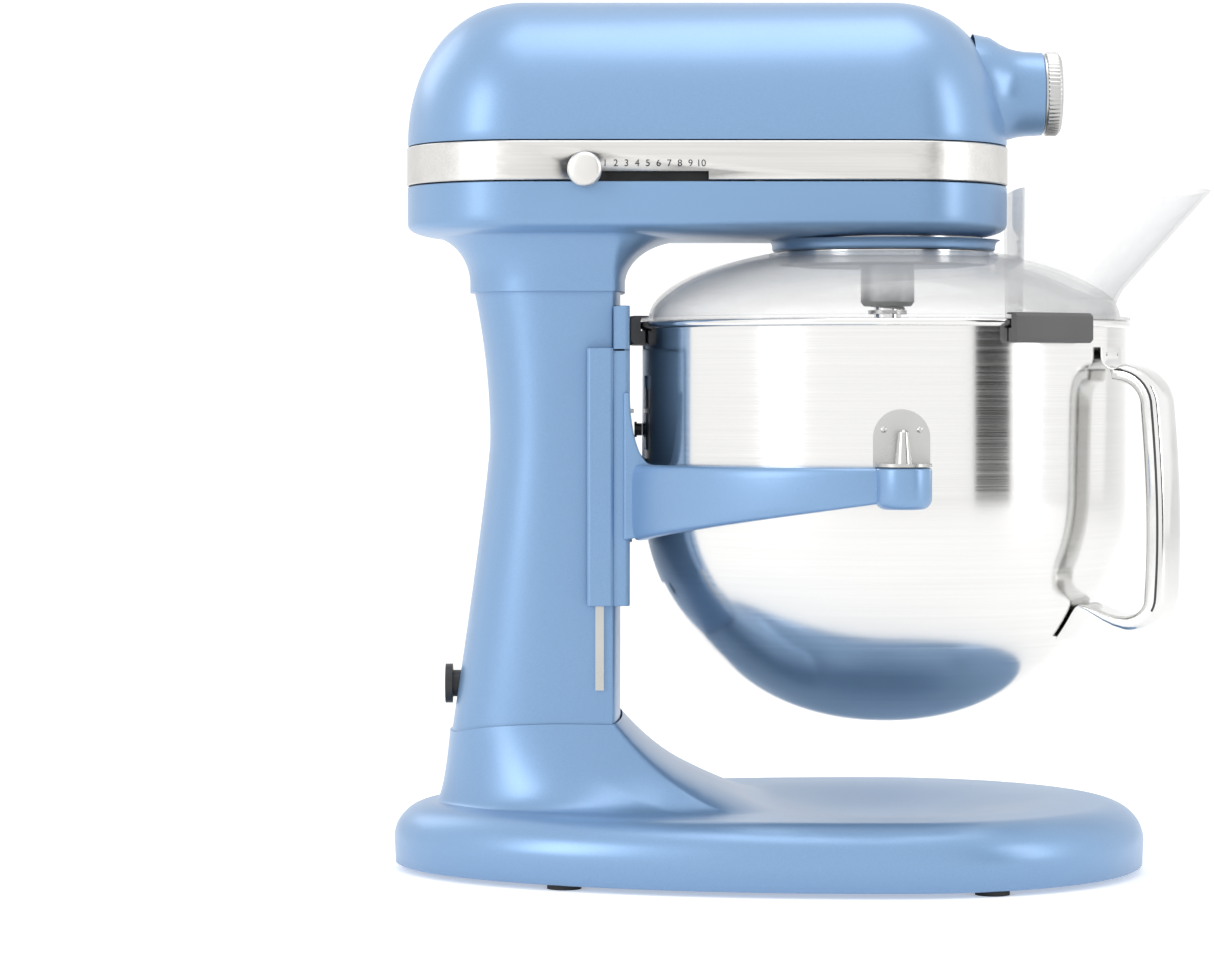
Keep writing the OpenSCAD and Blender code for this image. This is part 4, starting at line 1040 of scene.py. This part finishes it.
@dataclass
class Bowl(Assembly):
    """The brushed bowl with its bead rim, brackets, rivets and polished handle."""

    wall: float = 1.2 * MM
    roll: float = 1.8 * MM
    straight: float = 79 * MM
    power: float = 2.15
    handle_turn: float = -30.0
    handle_half_width: float = 12 * MM
    grip_depth: float = 11 * MM
    strap_t: float = 1.6 * MM

    @property
    def depth(self) -> float:
        """How far the curved part reaches below the straight wall."""
        return self.at.rim_z - self.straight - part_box("bowl")[0].z

    def curve(self, radius: float, depth: float) -> list[Flat]:
        """Makes the curved lower profile, from the wall in to the axis."""
        points = []
        for i in range(41):
            turn = math.radians(89.2 * i / 40)
            points.append((
                radius * math.cos(turn) ** (2 / self.power),
                self.at.rim_z - self.straight - depth * math.sin(turn) ** (2 / self.power),
            ))
        return points

    def radius_at(self, z: float) -> float:
        """Returns the bowl's outer radius at a height."""
        drop = (self.at.rim_z - self.straight - z) / self.depth
        if drop <= 0:
            return self.at.bowl_radius
        return self.at.bowl_radius * (1 - drop ** self.power) ** (1 / self.power)

    def build_shell(self) -> None:
        """Builds the bowl's sheet with its rolled rim."""
        radius, rim = self.at.bowl_radius, self.at.rim_z
        start = math.degrees(math.acos((self.wall - self.roll) / self.roll))
        sweep = [-start + (180 + start) * i / 24 for i in range(25)]
        bead = arc((radius - self.wall + self.roll, rim - self.roll), (self.roll, self.roll), sweep)
        inside = radius - self.wall
        heights = [rim - self.straight + (self.straight - 8 * MM) * i / 6 for i in range(1, 7)]
        profile = self.curve(radius, self.depth)[::-1] + [(radius, z) for z in heights] + bead
        profile += [(inside, z) for z in reversed(heights)] + self.curve(inside, self.depth - self.wall)
        piece = turned("bowl_sheet", profile, (self.at.bowl_x, 0), 192, closed=False, sharp=30)
        self.put(piece, "bowl_steel", "mixing_bowl", "bowl_steel", "bowl")

    def handle_path(self) -> tuple[list[Vector], list[float]]:
        """Makes the handle's centre line in the plane y = 0, and how deep the section is at each point.

        Returns:
            The points, from the upper foot to the lower one, and the depths in metres.
        """
        low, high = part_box("bowl_handle")
        thin, thick = self.strap_t, self.grip_depth
        seat = self.at.bowl_radius + thin
        out = self.handle_reach() - thick / 2
        top, bottom = high.z - thin / 2, low.z + 4.6 * MM
        rows = [(seat, top + rise * MM, thin) for rise in (10.5, 8.5, 6.5)]
        bend = 6.5 * MM
        rows += [(r, z, thin) for r, z in arc((seat + bend, top + bend), (-bend, -bend), range(15, 91, 15))]
        corner, lean, drop = 17 * MM, 4 * MM, 0.5 * MM
        start, turn_r = seat + bend, out - lean - corner
        rows += [
            (start + (turn_r - start) * share, top - drop * share, thin + (thick * 0.75 - thin) * share ** 2)
            for share in (0.3, 0.6, 0.85)
        ]
        upper, lower, round_r = top - drop - corner, bottom + 14 * MM, 14 * MM
        for degrees in range(0, 91, 9):
            r, z = arc((turn_r, upper), (corner, corner), (90 - degrees,))[0]
            grow = degrees / 90
            rows.append((r, z - thick * 0.1 * (1 - grow), thick * (0.78 + 0.22 * grow)))
        sag = 2.2 * MM
        for i in range(1, 12):
            share = i / 12
            bow = lean * (1 - share) ** 2 + sag * share ** 3
            rows.append((out - bow, upper + (lower - upper) * share, thick))
        tail, bar = out - sag - round_r, bottom + thick * 0.15
        for degrees in range(0, 91, 9):
            r, z = arc((tail, lower), (round_r, bar - lower), (degrees,))[0]
            rows.append((r, z, thick * (1 - 0.35 * degrees / 90)))
        knee = low.z + 14 * MM
        inner = self.radius_at(knee) + 4.2 * MM
        rows += [
            (tail + (inner - tail) * share, bar + (knee - bar) * share ** 1.6,
             thick * 0.65 + (thin - thick * 0.65) * share)
            for share in (0.25, 0.5, 0.72, 0.88)
        ]
        for below in (0.0, 1.2, 3.5, 7.0, 11.0, 16.0):
            z = knee - below * MM
            rows.append((self.radius_at(z) + (0.9 + 1.4 * math.exp(-below)) * MM, z, thin))
        return [Vector((r, 0, z)) for r, z, _ in rows], [depth for _, _, depth in rows]

    def handle_reach(self) -> float:
        """Returns how far the handle stands out from the bowl's axis."""
        turn = math.radians(-self.handle_turn)
        low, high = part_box("bowl_handle")
        across = self.handle_half_width * math.sin(turn)
        reach = (high.x - self.at.bowl_x - across) / math.cos(turn)
        return min(reach, math.hypot(high.x - self.at.bowl_x, low.y))

    def build_handle(self) -> None:
        """Builds the handle: a deep grip that thins to a strap at its feet, with a dark strip of painted
        shade along each side where the gap between its two steel strips lies.
        """
        half = self.handle_half_width
        section = [
            (half * signed_power(math.cos(turn), 0.5), -0.5 * signed_power(math.sin(turn), 0.62))
            for turn in turns(40)
        ]
        path, depths = self.handle_path()
        across = Vector((0, 1, 0))
        grip = swept("bowl_handle_grip", path, section, across, depths, sharp=50)
        grip_rows = slice(12, len(path) - 17)
        # Painted shade: a thin dark strip along each side stands for the shaded gap between the handle's two
        # steel strips.
        skin = half + 0.05 * MM
        gap_shade_section = [(skin, 0.11), (skin - 0.8 * MM, 0.11), (skin - 0.8 * MM, 0.21), (skin, 0.21)]
        gap_shade_strips = [
            swept(f"bowl_handle_gap_shade_{side + 1}", path[grip_rows], [(side * a, b) for a, b in gap_shade_section], across,
                  depths[grip_rows], sharp=50)
            for side in (-1, 1)
        ]
        for made in (grip, *gap_shade_strips):
            swing_round(made, self.handle_turn, self.at.bowl_x)
        self.put(grip, "polished_steel", "mixing_bowl", "polished_steel", "bowl_handle")
        # The side strips of painted shade take the dark plastic finish.
        for seam in gap_shade_strips:
            self.put(seam, "dark_plastic", "mixing_bowl", "polished_steel")

    def rivet(self, name: str, azimuth: float, z: float, radius: float, size: float) -> None:
        """Adds one domed rivet head on the bowl's wall.

        Args:
            name: The piece's name.
            azimuth: Its direction from the bowl's axis, in degrees.
            z: Its height.
            radius: Distance of its seat from the bowl's axis.
            size: Its radius.
        """
        dome = [(1, 0), (0.94, 0.35), (0.7, 0.62), (0.35, 0.76), (0.05, 0.8)]
        rings = [upright_ring("X", (0, 0, z), radius + out * size, r * size, 24) for r, out in dome]
        piece = lofted(name, rings, sharp=60)
        swing_round(piece, azimuth, self.at.bowl_x)
        self.put(piece, "satin_steel", "mixing_bowl", "bright_steel")

    def build_brackets(self) -> None:
        """Dresses the two locating brackets and adds the rivets."""
        self.paints.dress(FRAME["nodes"]["bowl_brackets"], "satin_steel")
        wall = self.at.bowl_radius
        for side in (-90, 90):
            for i, offset in enumerate((-4.0, 4.0)):
                self.rivet(f"bracket_rivet_{side + 90}_{i}", side + offset, self.at.pad_z + 17 * MM,
                           wall + 1.2 * MM, 1.6 * MM)
        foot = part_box("bowl_handle")[1].z + 6.5 * MM
        for i, offset in enumerate((-3.2, 3.2)):
            self.rivet(f"handle_rivet_{i}", self.handle_turn + offset, foot, wall + 2.2 * MM, 1.0 * MM)

    def build(self) -> None:
        """Builds the bowl and what is fixed to it."""
        self.build_shell()
        self.build_handle()
        self.build_brackets()


@dataclass
class Shield(Assembly):
    """The clear pouring shield: a dome with a chute, held by three rubber clips."""

    thick: float = 2 * MM
    flange: float = 1.5 * MM
    dome_h: float = 37.5 * MM
    hole: float = 55.5 * MM
    knee: float = 0.24
    foot_lean: float = 0.1
    clip_span: float = 22.0
    half_low: float = 36 * MM
    half_high: float = 46 * MM

    @property
    def bottom(self) -> float:
        """Height of the flange's lower face."""
        return self.at.rim_z + 0.3 * MM

    @property
    def radius(self) -> float:
        """Radius of the dome where it meets its flange."""
        return self.at.bowl_radius - 3 * MM

    def dome_skin(self, radius: float, height: float) -> list[Flat]:
        """Makes one skin of the dome, from the hole out to a radius."""
        base = self.bottom + self.flange
        points = []
        for i in range(31):
            r = self.hole + (radius - self.hole) * math.sin(math.pi / 2 * i / 30)
            points.append((r, base + math.sqrt(max(0.0, 1 - (r / radius) ** 2)) * height))
        return points

    def dome_profile(self) -> list[Flat]:
        """Makes the dome's closed profile: outside, flange, inside."""
        inner, rise = self.radius - self.thick, self.dome_h - self.flange
        base, edge, soft = self.bottom + self.flange, self.at.bowl_radius + 2 * MM, 0.3 * MM
        flange = [(edge - soft, base), (edge, base - 0.4 * MM), (edge, self.bottom + soft),
                  (edge - soft, self.bottom), (inner - 0.2 * MM, self.bottom)]
        return self.dome_skin(self.radius, rise) + flange + self.dome_skin(inner, rise - self.thick)[::-1]

    def chute_ring(self, share: float, inset: float) -> Ring:
        """Makes a ring of the chute.

        Args:
            share: From the rim (0) to the mouth (1).
            inset: Moves the ring inwards.

        Returns:
            The points.
        """
        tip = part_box("pouring_shield")[1]
        back = self.at.head_front + 1.8 * MM
        foot = self.at.bowl_x + self.radius - 3 * MM
        if share < self.knee:
            lean = self.foot_lean * (share / self.knee) ** 2
        else:
            lean = self.foot_lean + (1 - self.foot_lean) * (share - self.knee) / (1 - self.knee)
        front = foot + (tip.x - foot) * lean
        half = self.half_low + (self.half_high - self.half_low) * share
        tight, wide = 3 * MM, 30 * MM
        plan = Plan(back + tight, front - wide, tight - inset, wide - inset, half - inset, 3, 2.2)
        return plan.ring(self.bottom + (tip.z - self.bottom) * share)

    def build_dome(self) -> None:
        """Builds the dome, cut open where the chute stands, and the chute's thin wall."""
        dome = turned("shield_dome", self.dome_profile(), (self.at.bowl_x, 0), 144, sharp=30)
        shares = [-0.1 + 1.15 * i / 24 for i in range(25)]
        cut_away(dome, lofted("chute_space", [self.chute_ring(s, self.thick) for s in shares]))
        self.put(dome, "clear_plastic", "shield", "clear_plastic", "pouring_shield")
        steps = [i / 24 for i in range(25)]
        walls = [self.chute_ring(s, 0) for s in steps]
        inside = [self.chute_ring(s, self.thick) for s in reversed(steps)]
        chute = lofted("shield_chute", walls + inside, loop=True, sharp=35)
        self.put(chute, "clear_plastic", "shield", "clear_plastic")

    def build_clips(self) -> None:
        """Builds the rubber clips that grip the bowl's rim."""
        top, low, rim = self.bottom + 2.4 * MM, self.bottom - 11.5 * MM, self.at.rim_z - 4.5 * MM
        soft, lip = 1.6 * MM, 0.8 * MM
        wall = [
            (-1.0, top - lip), (-1.0, top), (6.4, top), (8.0, top - soft), (8.0, low + soft), (6.4, low),
            (1.4, low), (0.6, low + lip), (0.6, rim), (3.0, rim), (3.0, top - lip),
        ]
        section = [(self.at.bowl_radius + out * MM, z) for out, z in wall]
        for number, middle in enumerate((180.0, 54.0, -54.0)):
            nodes = ("shield_clips",) if number == 0 else ()
            rings = []
            for i in range(21):
                turn = math.radians(middle + self.clip_span * (i / 20 - 0.5))
                out, side = math.cos(turn), math.sin(turn)
                rings.append([(self.at.bowl_x + r * out, r * side, z) for r, z in section])
            piece = lofted(f"shield_clip_{number}", rings, sharp=35)
            rounded_edges(piece, 0.7 * MM)
            self.put(piece, "clip_rubber", "shield", "clip_rubber", *nodes)

    def build(self) -> None:
        """Builds the shield."""
        self.build_dome()
        self.build_clips()


@dataclass
class BowlLift(Assembly):
    """The lifting fork: a slider on the column's front and two arms that carry the bowl."""

    arm_radius_gap: float = 11 * MM
    arm_t: float = 10 * MM
    root_angle: float = 157.0
    root_h: float = 36 * MM
    end_h: float = 15 * MM
    pad_r: float = 13 * MM
    gap: float = 0.3 * MM
    ear_in: float = 32 * MM
    ear_depth: float = 3.5 * MM

    @property
    def plate_t(self) -> float:
        """How far the slider's front face stands before the column."""
        return self.gap + 4 * MM

    @property
    def front(self) -> float:
        """X of the slider's front face."""
        return self.at.column_front + self.plate_t

    @property
    def inner(self) -> float:
        """Half of the room between the slider's flanges."""
        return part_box("guide_rails")[1].y + self.gap

    @property
    def outer(self) -> float:
        """Half of the slider's width."""
        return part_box("guide_rails")[1].y + 4.9 * MM

    @property
    def reach(self) -> float:
        """Distance of the arms' middle from the bowl's axis."""
        return self.at.bowl_radius + self.arm_radius_gap

    def slider_plan(self) -> list[Flat]:
        """Makes half of the slider's outer plan, from its back edge round the corner to its front."""
        step, bend, ledge, edge = self.at.column_front - self.ear_depth, 2.6 * MM, 2 * MM, 1.2 * MM
        back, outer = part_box("bowl_support")[0].x, self.outer
        return [
            (back, outer - edge), (back + edge, outer), (step - edge, outer), (step, outer - 0.9 * MM),
            (step, outer - ledge),
            *arc((self.front - bend, outer - ledge - bend), (bend, bend), range(90, -1, -10)),
        ]

    def build_slider(self) -> None:
        """Builds the slider that wraps the column's front, and the two ears above its plate."""
        low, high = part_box("bowl_support")
        face, half, pad = self.at.column_front + self.gap, self.slider_plan(), self.at.pad_z
        top = self.at.column_top - 27 * MM
        outline = half + [(x, -y) for x, y in reversed(half)]
        outline += [(low.x, -self.inner), (face, -self.inner), (face, self.inner), (low.x, self.inner)]
        piece = lofted("lift_slider", [[(x, y, z) for x, y in outline] for z in (low.z, top)], sharp=30)
        cut_away(piece, block(
            "latch_window", (face - 5 * MM, -12 * MM, pad - 2 * MM),
            (self.front + 5 * MM, 12 * MM, pad + 42 * MM),
        ))
        rounded_edges(piece, 0.9 * MM)
        self.put(piece, "blue_enamel", "bowl_lift", "enamel", "bowl_support")
        step = self.at.column_front - self.ear_depth
        shape = [(x, y) for x, y in half if x > step - 0.4 * MM]
        shape += [(self.front, self.ear_in), (face, self.ear_in), (face, self.inner), (step, self.inner)]
        for name, side in (("right", -1.0), ("left", 1.0)):
            rings = [[(x, side * y, z) for x, y in shape] for z in (top - 2 * MM, high.z)]
            ear = lofted(f"slider_ear_{name}", rings, sharp=30)
            rounded_edges(ear, 0.9 * MM)
            self.put(ear, "blue_enamel", "bowl_lift", "enamel")

    def arm_ring(self, share: float, side: float) -> Ring:
        """Makes a rounded section of an arm.

        Args:
            share: From the slider (0) to the pad (1).
            side: -1 for the side with the knob, 1 for the side with the lever.

        Returns:
            The points.
        """
        turn = math.radians(self.root_angle + (90 - self.root_angle) * share)
        tall = self.root_h + (self.end_h - self.root_h) * share
        points: Ring = []
        for angle in turns(28):
            r = self.reach + self.arm_t / 2 * signed_power(math.cos(angle), 0.55)
            up = tall / 2 * signed_power(math.sin(angle), 0.4)
            points.append((
                self.at.bowl_x + r * math.cos(turn), side * r * math.sin(turn), self.at.pad_z - tall / 2 + up,
            ))
        return points

    def build_pad(self, name: str, side: float) -> None:
        """Builds the round pad at an arm's end, cut back from the bowl."""
        top, low = self.at.pad_z, self.at.pad_z - self.end_h - 4 * MM
        soft, bend = 1.4 * MM, 5 * MM
        profile = [
            (4.4 * MM, top), (self.pad_r - soft, top),
            *arc((self.pad_r - soft, top - soft), (soft, soft), (60, 30, 0)),
            *arc((self.pad_r - bend, low + bend), (bend, -bend), (0, 20, 40, 60, 80, 90)),
            (2 * MM, low),
        ]
        centre = (self.at.bowl_x, side * self.reach)
        pad = turned(f"lift_pad_{name}", profile, centre, 64, closed=False, sharp=40)
        room = self.at.bowl_radius + 0.6 * MM
        above, below = top + 5 * MM, low - 5 * MM
        cutter = [(1e-4, above), (room, above), (room, below), (1e-4, below)]
        cut_away(pad, turned("bowl_room", cutter, (self.at.bowl_x, 0), 128, closed=False))
        self.put(pad, "blue_enamel", "bowl_lift", "enamel")

    def build_web(self, name: str, side: float) -> None:
        """Builds the web that runs from the slider's side down into an arm's root."""
        root_x = self.at.bowl_x + self.reach * math.cos(math.radians(self.root_angle))
        length, rise, back = root_x - self.front + 5 * MM, 34 * MM, self.front - 3 * MM
        top, low = self.at.pad_z, self.at.pad_z - self.root_h
        edge = [
            (back, low), (self.front + length, low + 3 * MM),
            *arc((self.front + length, top + rise), (-length, -rise), range(90, -1, -6)), (back, top + rise),
        ]
        rings = [[(x, side * y, z) for x, z in edge] for y in (self.outer - 7.4 * MM, self.outer)]
        piece = lofted(f"lift_web_{name}", rings, sharp=30)
        rounded_edges(piece, 1.6 * MM)
        self.put(piece, "blue_enamel", "bowl_lift", "enamel")

    def build_arms(self) -> None:
        """Builds the arms, their pads and the webs at their roots."""
        for name, side in (("right", -1.0), ("left", 1.0)):
            arm = lofted(f"lift_arm_{name}", [self.arm_ring(i / 40, side) for i in range(41)], sharp=50)
            self.put(arm, "blue_enamel", "bowl_lift", "enamel")
            self.build_pad(name, side)
            self.build_web(name, side)

    def build(self) -> None:
        """Builds the lift."""
        self.build_slider()
        self.build_arms()


@dataclass
class CarriedNodes(Assembly):
    """CAD nodes that keep their own shape and only take a finish."""

    def build(self) -> None:
        """Dresses the nodes."""
        finishes = {
            "satin_steel": (
                "guide_rails column_bolts neck_bolts cover_screws yoke_screws locating_pins bowl_latch "
                "lift_lever drive_pin shaft_spring spring_washer hub_stud"
            ),
            "polished_steel": "drip_ring beater_shaft",
            "gear_steel": (
                "ring_gear shaft_bearings hub_bearing motor_bearings lift_yoke lift_axle lift_crank "
                "main_shaft drive_bevel beater_pinion hub_shaft hub_bevel motor_shaft"
            ),
            "cast_alloy": "gearcase motor_end_plate planet_carrier",
            "bronze": "lever_bushing brush_holders worm_wheel",
            "copper_winding": "commutator",
            "lamination_steel": "motor_stator rotor_core",
            "dark_plastic": "cord_gland speed_track speed_carriage lever_grip bowl_stud cooling_fan",
            "foot_rubber": "rubber_feet",
            "board_green": "control_board",
        }
        for finish, names in finishes.items():
            for name in names.split():
                self.paints.dress(FRAME["nodes"][name], finish)
                LOG.info("dressed %s in %s", name, finish)


# ---------------------------------------------------------------- floor, light and camera


@dataclass
class Studio:
    """A pale floor, soft lights and the camera."""

    at: Layout
    paper: Colour = (0.93, 0.93, 0.93)
    room: float = 0.5
    shine: float = 1.25
    glow: float = 0.35
    flag_bearing: float = 47.0

    def build_floor(self) -> None:
        """Builds the floor and the soft curve behind it."""
        half, back, bend, tall = 4.0, 2.0, 1.2, 4.0
        curve = arc((back, bend), (bend, -bend), range(84, -1, -6))
        line = [(-2.6, 0.0), (back, 0.0), *curve, (back + bend, tall)]

        def shape(work: bmesh.types.BMesh) -> None:
            """Adds the swept sheet."""
            rows = [[work.verts.new((x, y, z)) for x in (-half, half)] for y, z in line]
            for low, high in zip(rows, rows[1:]):
                work.faces.new((low[0], low[1], high[1], high[0]))

        floor = mesh_object("studio_floor", shape, 60)
        shader = Shader("studio_paper")
        grain = shader.effect(Effect.GRAIN, Speck_Scale=300.0, Cloud_Scale=2.0)
        shader.blend(grain.outputs["Cloud"], shaded(self.paper, 0.99), self.paper)
        shader.plain(Roughness=0.75, Specular_IOR_Level=0.2, Emission_Strength=self.glow)
        shader.principled.inputs["Emission Color"].default_value = (1.0, 1.0, 1.0, 1.0)
        floor.data.materials.append(shader.material)

    def build_room(self) -> None:
        """Builds the even room light; reflections see it brighter than other light does."""
        world = bpy.data.worlds.new("studio_room")
        world.use_nodes = True
        tree = world.node_tree
        even = tree.nodes["Background"]
        shine = tree.nodes.new("ShaderNodeBackground")
        for node, strength in ((even, self.room), (shine, self.shine)):
            node.inputs["Color"].default_value = (1.0, 1.0, 1.0, 1.0)
            node.inputs["Strength"].default_value = strength
        choose = tree.nodes.new("ShaderNodeMixShader")
        tree.links.new(tree.nodes.new("ShaderNodeLightPath").outputs["Is Glossy Ray"], choose.inputs["Fac"])
        tree.links.new(even.outputs[0], choose.inputs[1])
        tree.links.new(shine.outputs[0], choose.inputs[2])
        tree.links.new(choose.outputs[0], tree.nodes["World Output"].inputs["Surface"])
        bpy.context.scene.world = world
        bpy.context.scene.view_settings.view_transform = "Standard"

    def build_flag(self) -> None:
        """Builds the dark card that only shows as a soft band in shiny metal."""
        bearing, far, half, tall = math.radians(self.flag_bearing), 2.6, 0.42, 2.6
        away = Vector((math.sin(bearing), -math.cos(bearing), 0.0))
        side = Vector((math.cos(bearing), math.sin(bearing), 0.0)) * half
        middle = Vector((self.at.bowl_x, 0.0, 0.0)) + away * far

        def shape(work: bmesh.types.BMesh) -> None:
            """Adds the card, in strips that follow a slight curve."""
            rows = []
            for i in range(7):
                across = i / 3 - 1
                foot = middle + side * across + away * (0.1 * across ** 2)
                rows.append([work.verts.new(foot), work.verts.new(foot + Vector((0, 0, tall)))])
            for left, right in zip(rows, rows[1:]):
                work.faces.new((left[0], right[0], right[1], left[1]))

        card = mesh_object("studio_flag", shape)
        shader = Shader("studio_black")
        grain = shader.effect(Effect.GRAIN, Speck_Scale=300.0, Cloud_Scale=3.0)
        shader.blend(grain.outputs["Cloud"], (0.012, 0.012, 0.012), (0.02, 0.02, 0.02))
        shader.plain(Roughness=0.9, Specular_IOR_Level=0.0)
        card.data.materials.append(shader.material)
        for ray in ("camera", "diffuse", "shadow", "transmission"):
            setattr(card, f"visible_{ray}", False)

    def build_lights(self) -> None:
        """Builds the soft boxes."""
        target = Vector((0.0, 0.0, 0.2))
        rows = [
            ("left_box", (-1.9, -1.5, 1.1), (0.9, 1.5), 20.0),
            ("right_box", (2.1, -0.95, 1.0), (0.5, 1.6), 14.0),
            ("top_box", (0.1, -0.1, 2.0), (1.4, 1.0), 12.0),
            ("back_box", (-1.6, 1.3, 1.4), (1.0, 1.0), 6.0),
        ]
        for name, spot, size, power in rows:
            light = bpy.data.lights.new(name, "AREA")
            light.shape = "RECTANGLE"
            light.size, light.size_y = size
            light.energy = power
            holder = bpy.data.objects.new(name, light)
            holder.location = spot
            holder.rotation_euler = (target - Vector(spot)).to_track_quat("-Z", "Y").to_euler()
            bpy.context.scene.collection.objects.link(holder)

    def build_camera(self) -> None:
        """Builds the camera: level, straight at the side with the speed knob."""
        camera = bpy.data.cameras.new("view")
        camera.lens = 116.2
        camera.sensor_width = 36.0
        camera.shift_y = -0.081
        camera.clip_end = 20.0
        holder = bpy.data.objects.new("view", camera)
        holder.location = (self.at.bowl_x - 0.134, -1.9, 0.231)
        holder.rotation_euler = (math.radians(90), 0, 0)
        bpy.context.scene.collection.objects.link(holder)
        bpy.context.scene.camera = holder

    def build(self) -> None:
        """Builds the studio."""
        self.build_floor()
        self.build_room()
        self.build_flag()
        self.build_lights()
        self.build_camera()


def main() -> None:
    logging.basicConfig(level=logging.INFO, format="%(message)s")
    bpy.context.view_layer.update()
    at = Layout.read()
    paints = Paints()
    for part in (
        Base(at, paints), Column(at, paints), Head(at, paints), Controls(at, paints), BowlLift(at, paints),
        Bowl(at, paints), Shield(at, paints), CarriedNodes(at, paints), Studio(at),
    ):
        part.build()


with open("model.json") as file:
    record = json.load(file)
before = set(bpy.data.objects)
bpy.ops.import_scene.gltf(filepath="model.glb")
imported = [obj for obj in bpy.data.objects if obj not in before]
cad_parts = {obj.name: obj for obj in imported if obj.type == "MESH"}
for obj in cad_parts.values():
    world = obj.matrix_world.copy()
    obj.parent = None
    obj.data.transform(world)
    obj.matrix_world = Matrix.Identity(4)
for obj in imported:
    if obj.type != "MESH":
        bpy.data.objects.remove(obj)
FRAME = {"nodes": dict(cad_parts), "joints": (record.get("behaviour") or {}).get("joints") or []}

if __name__ == "__main__":
    main()
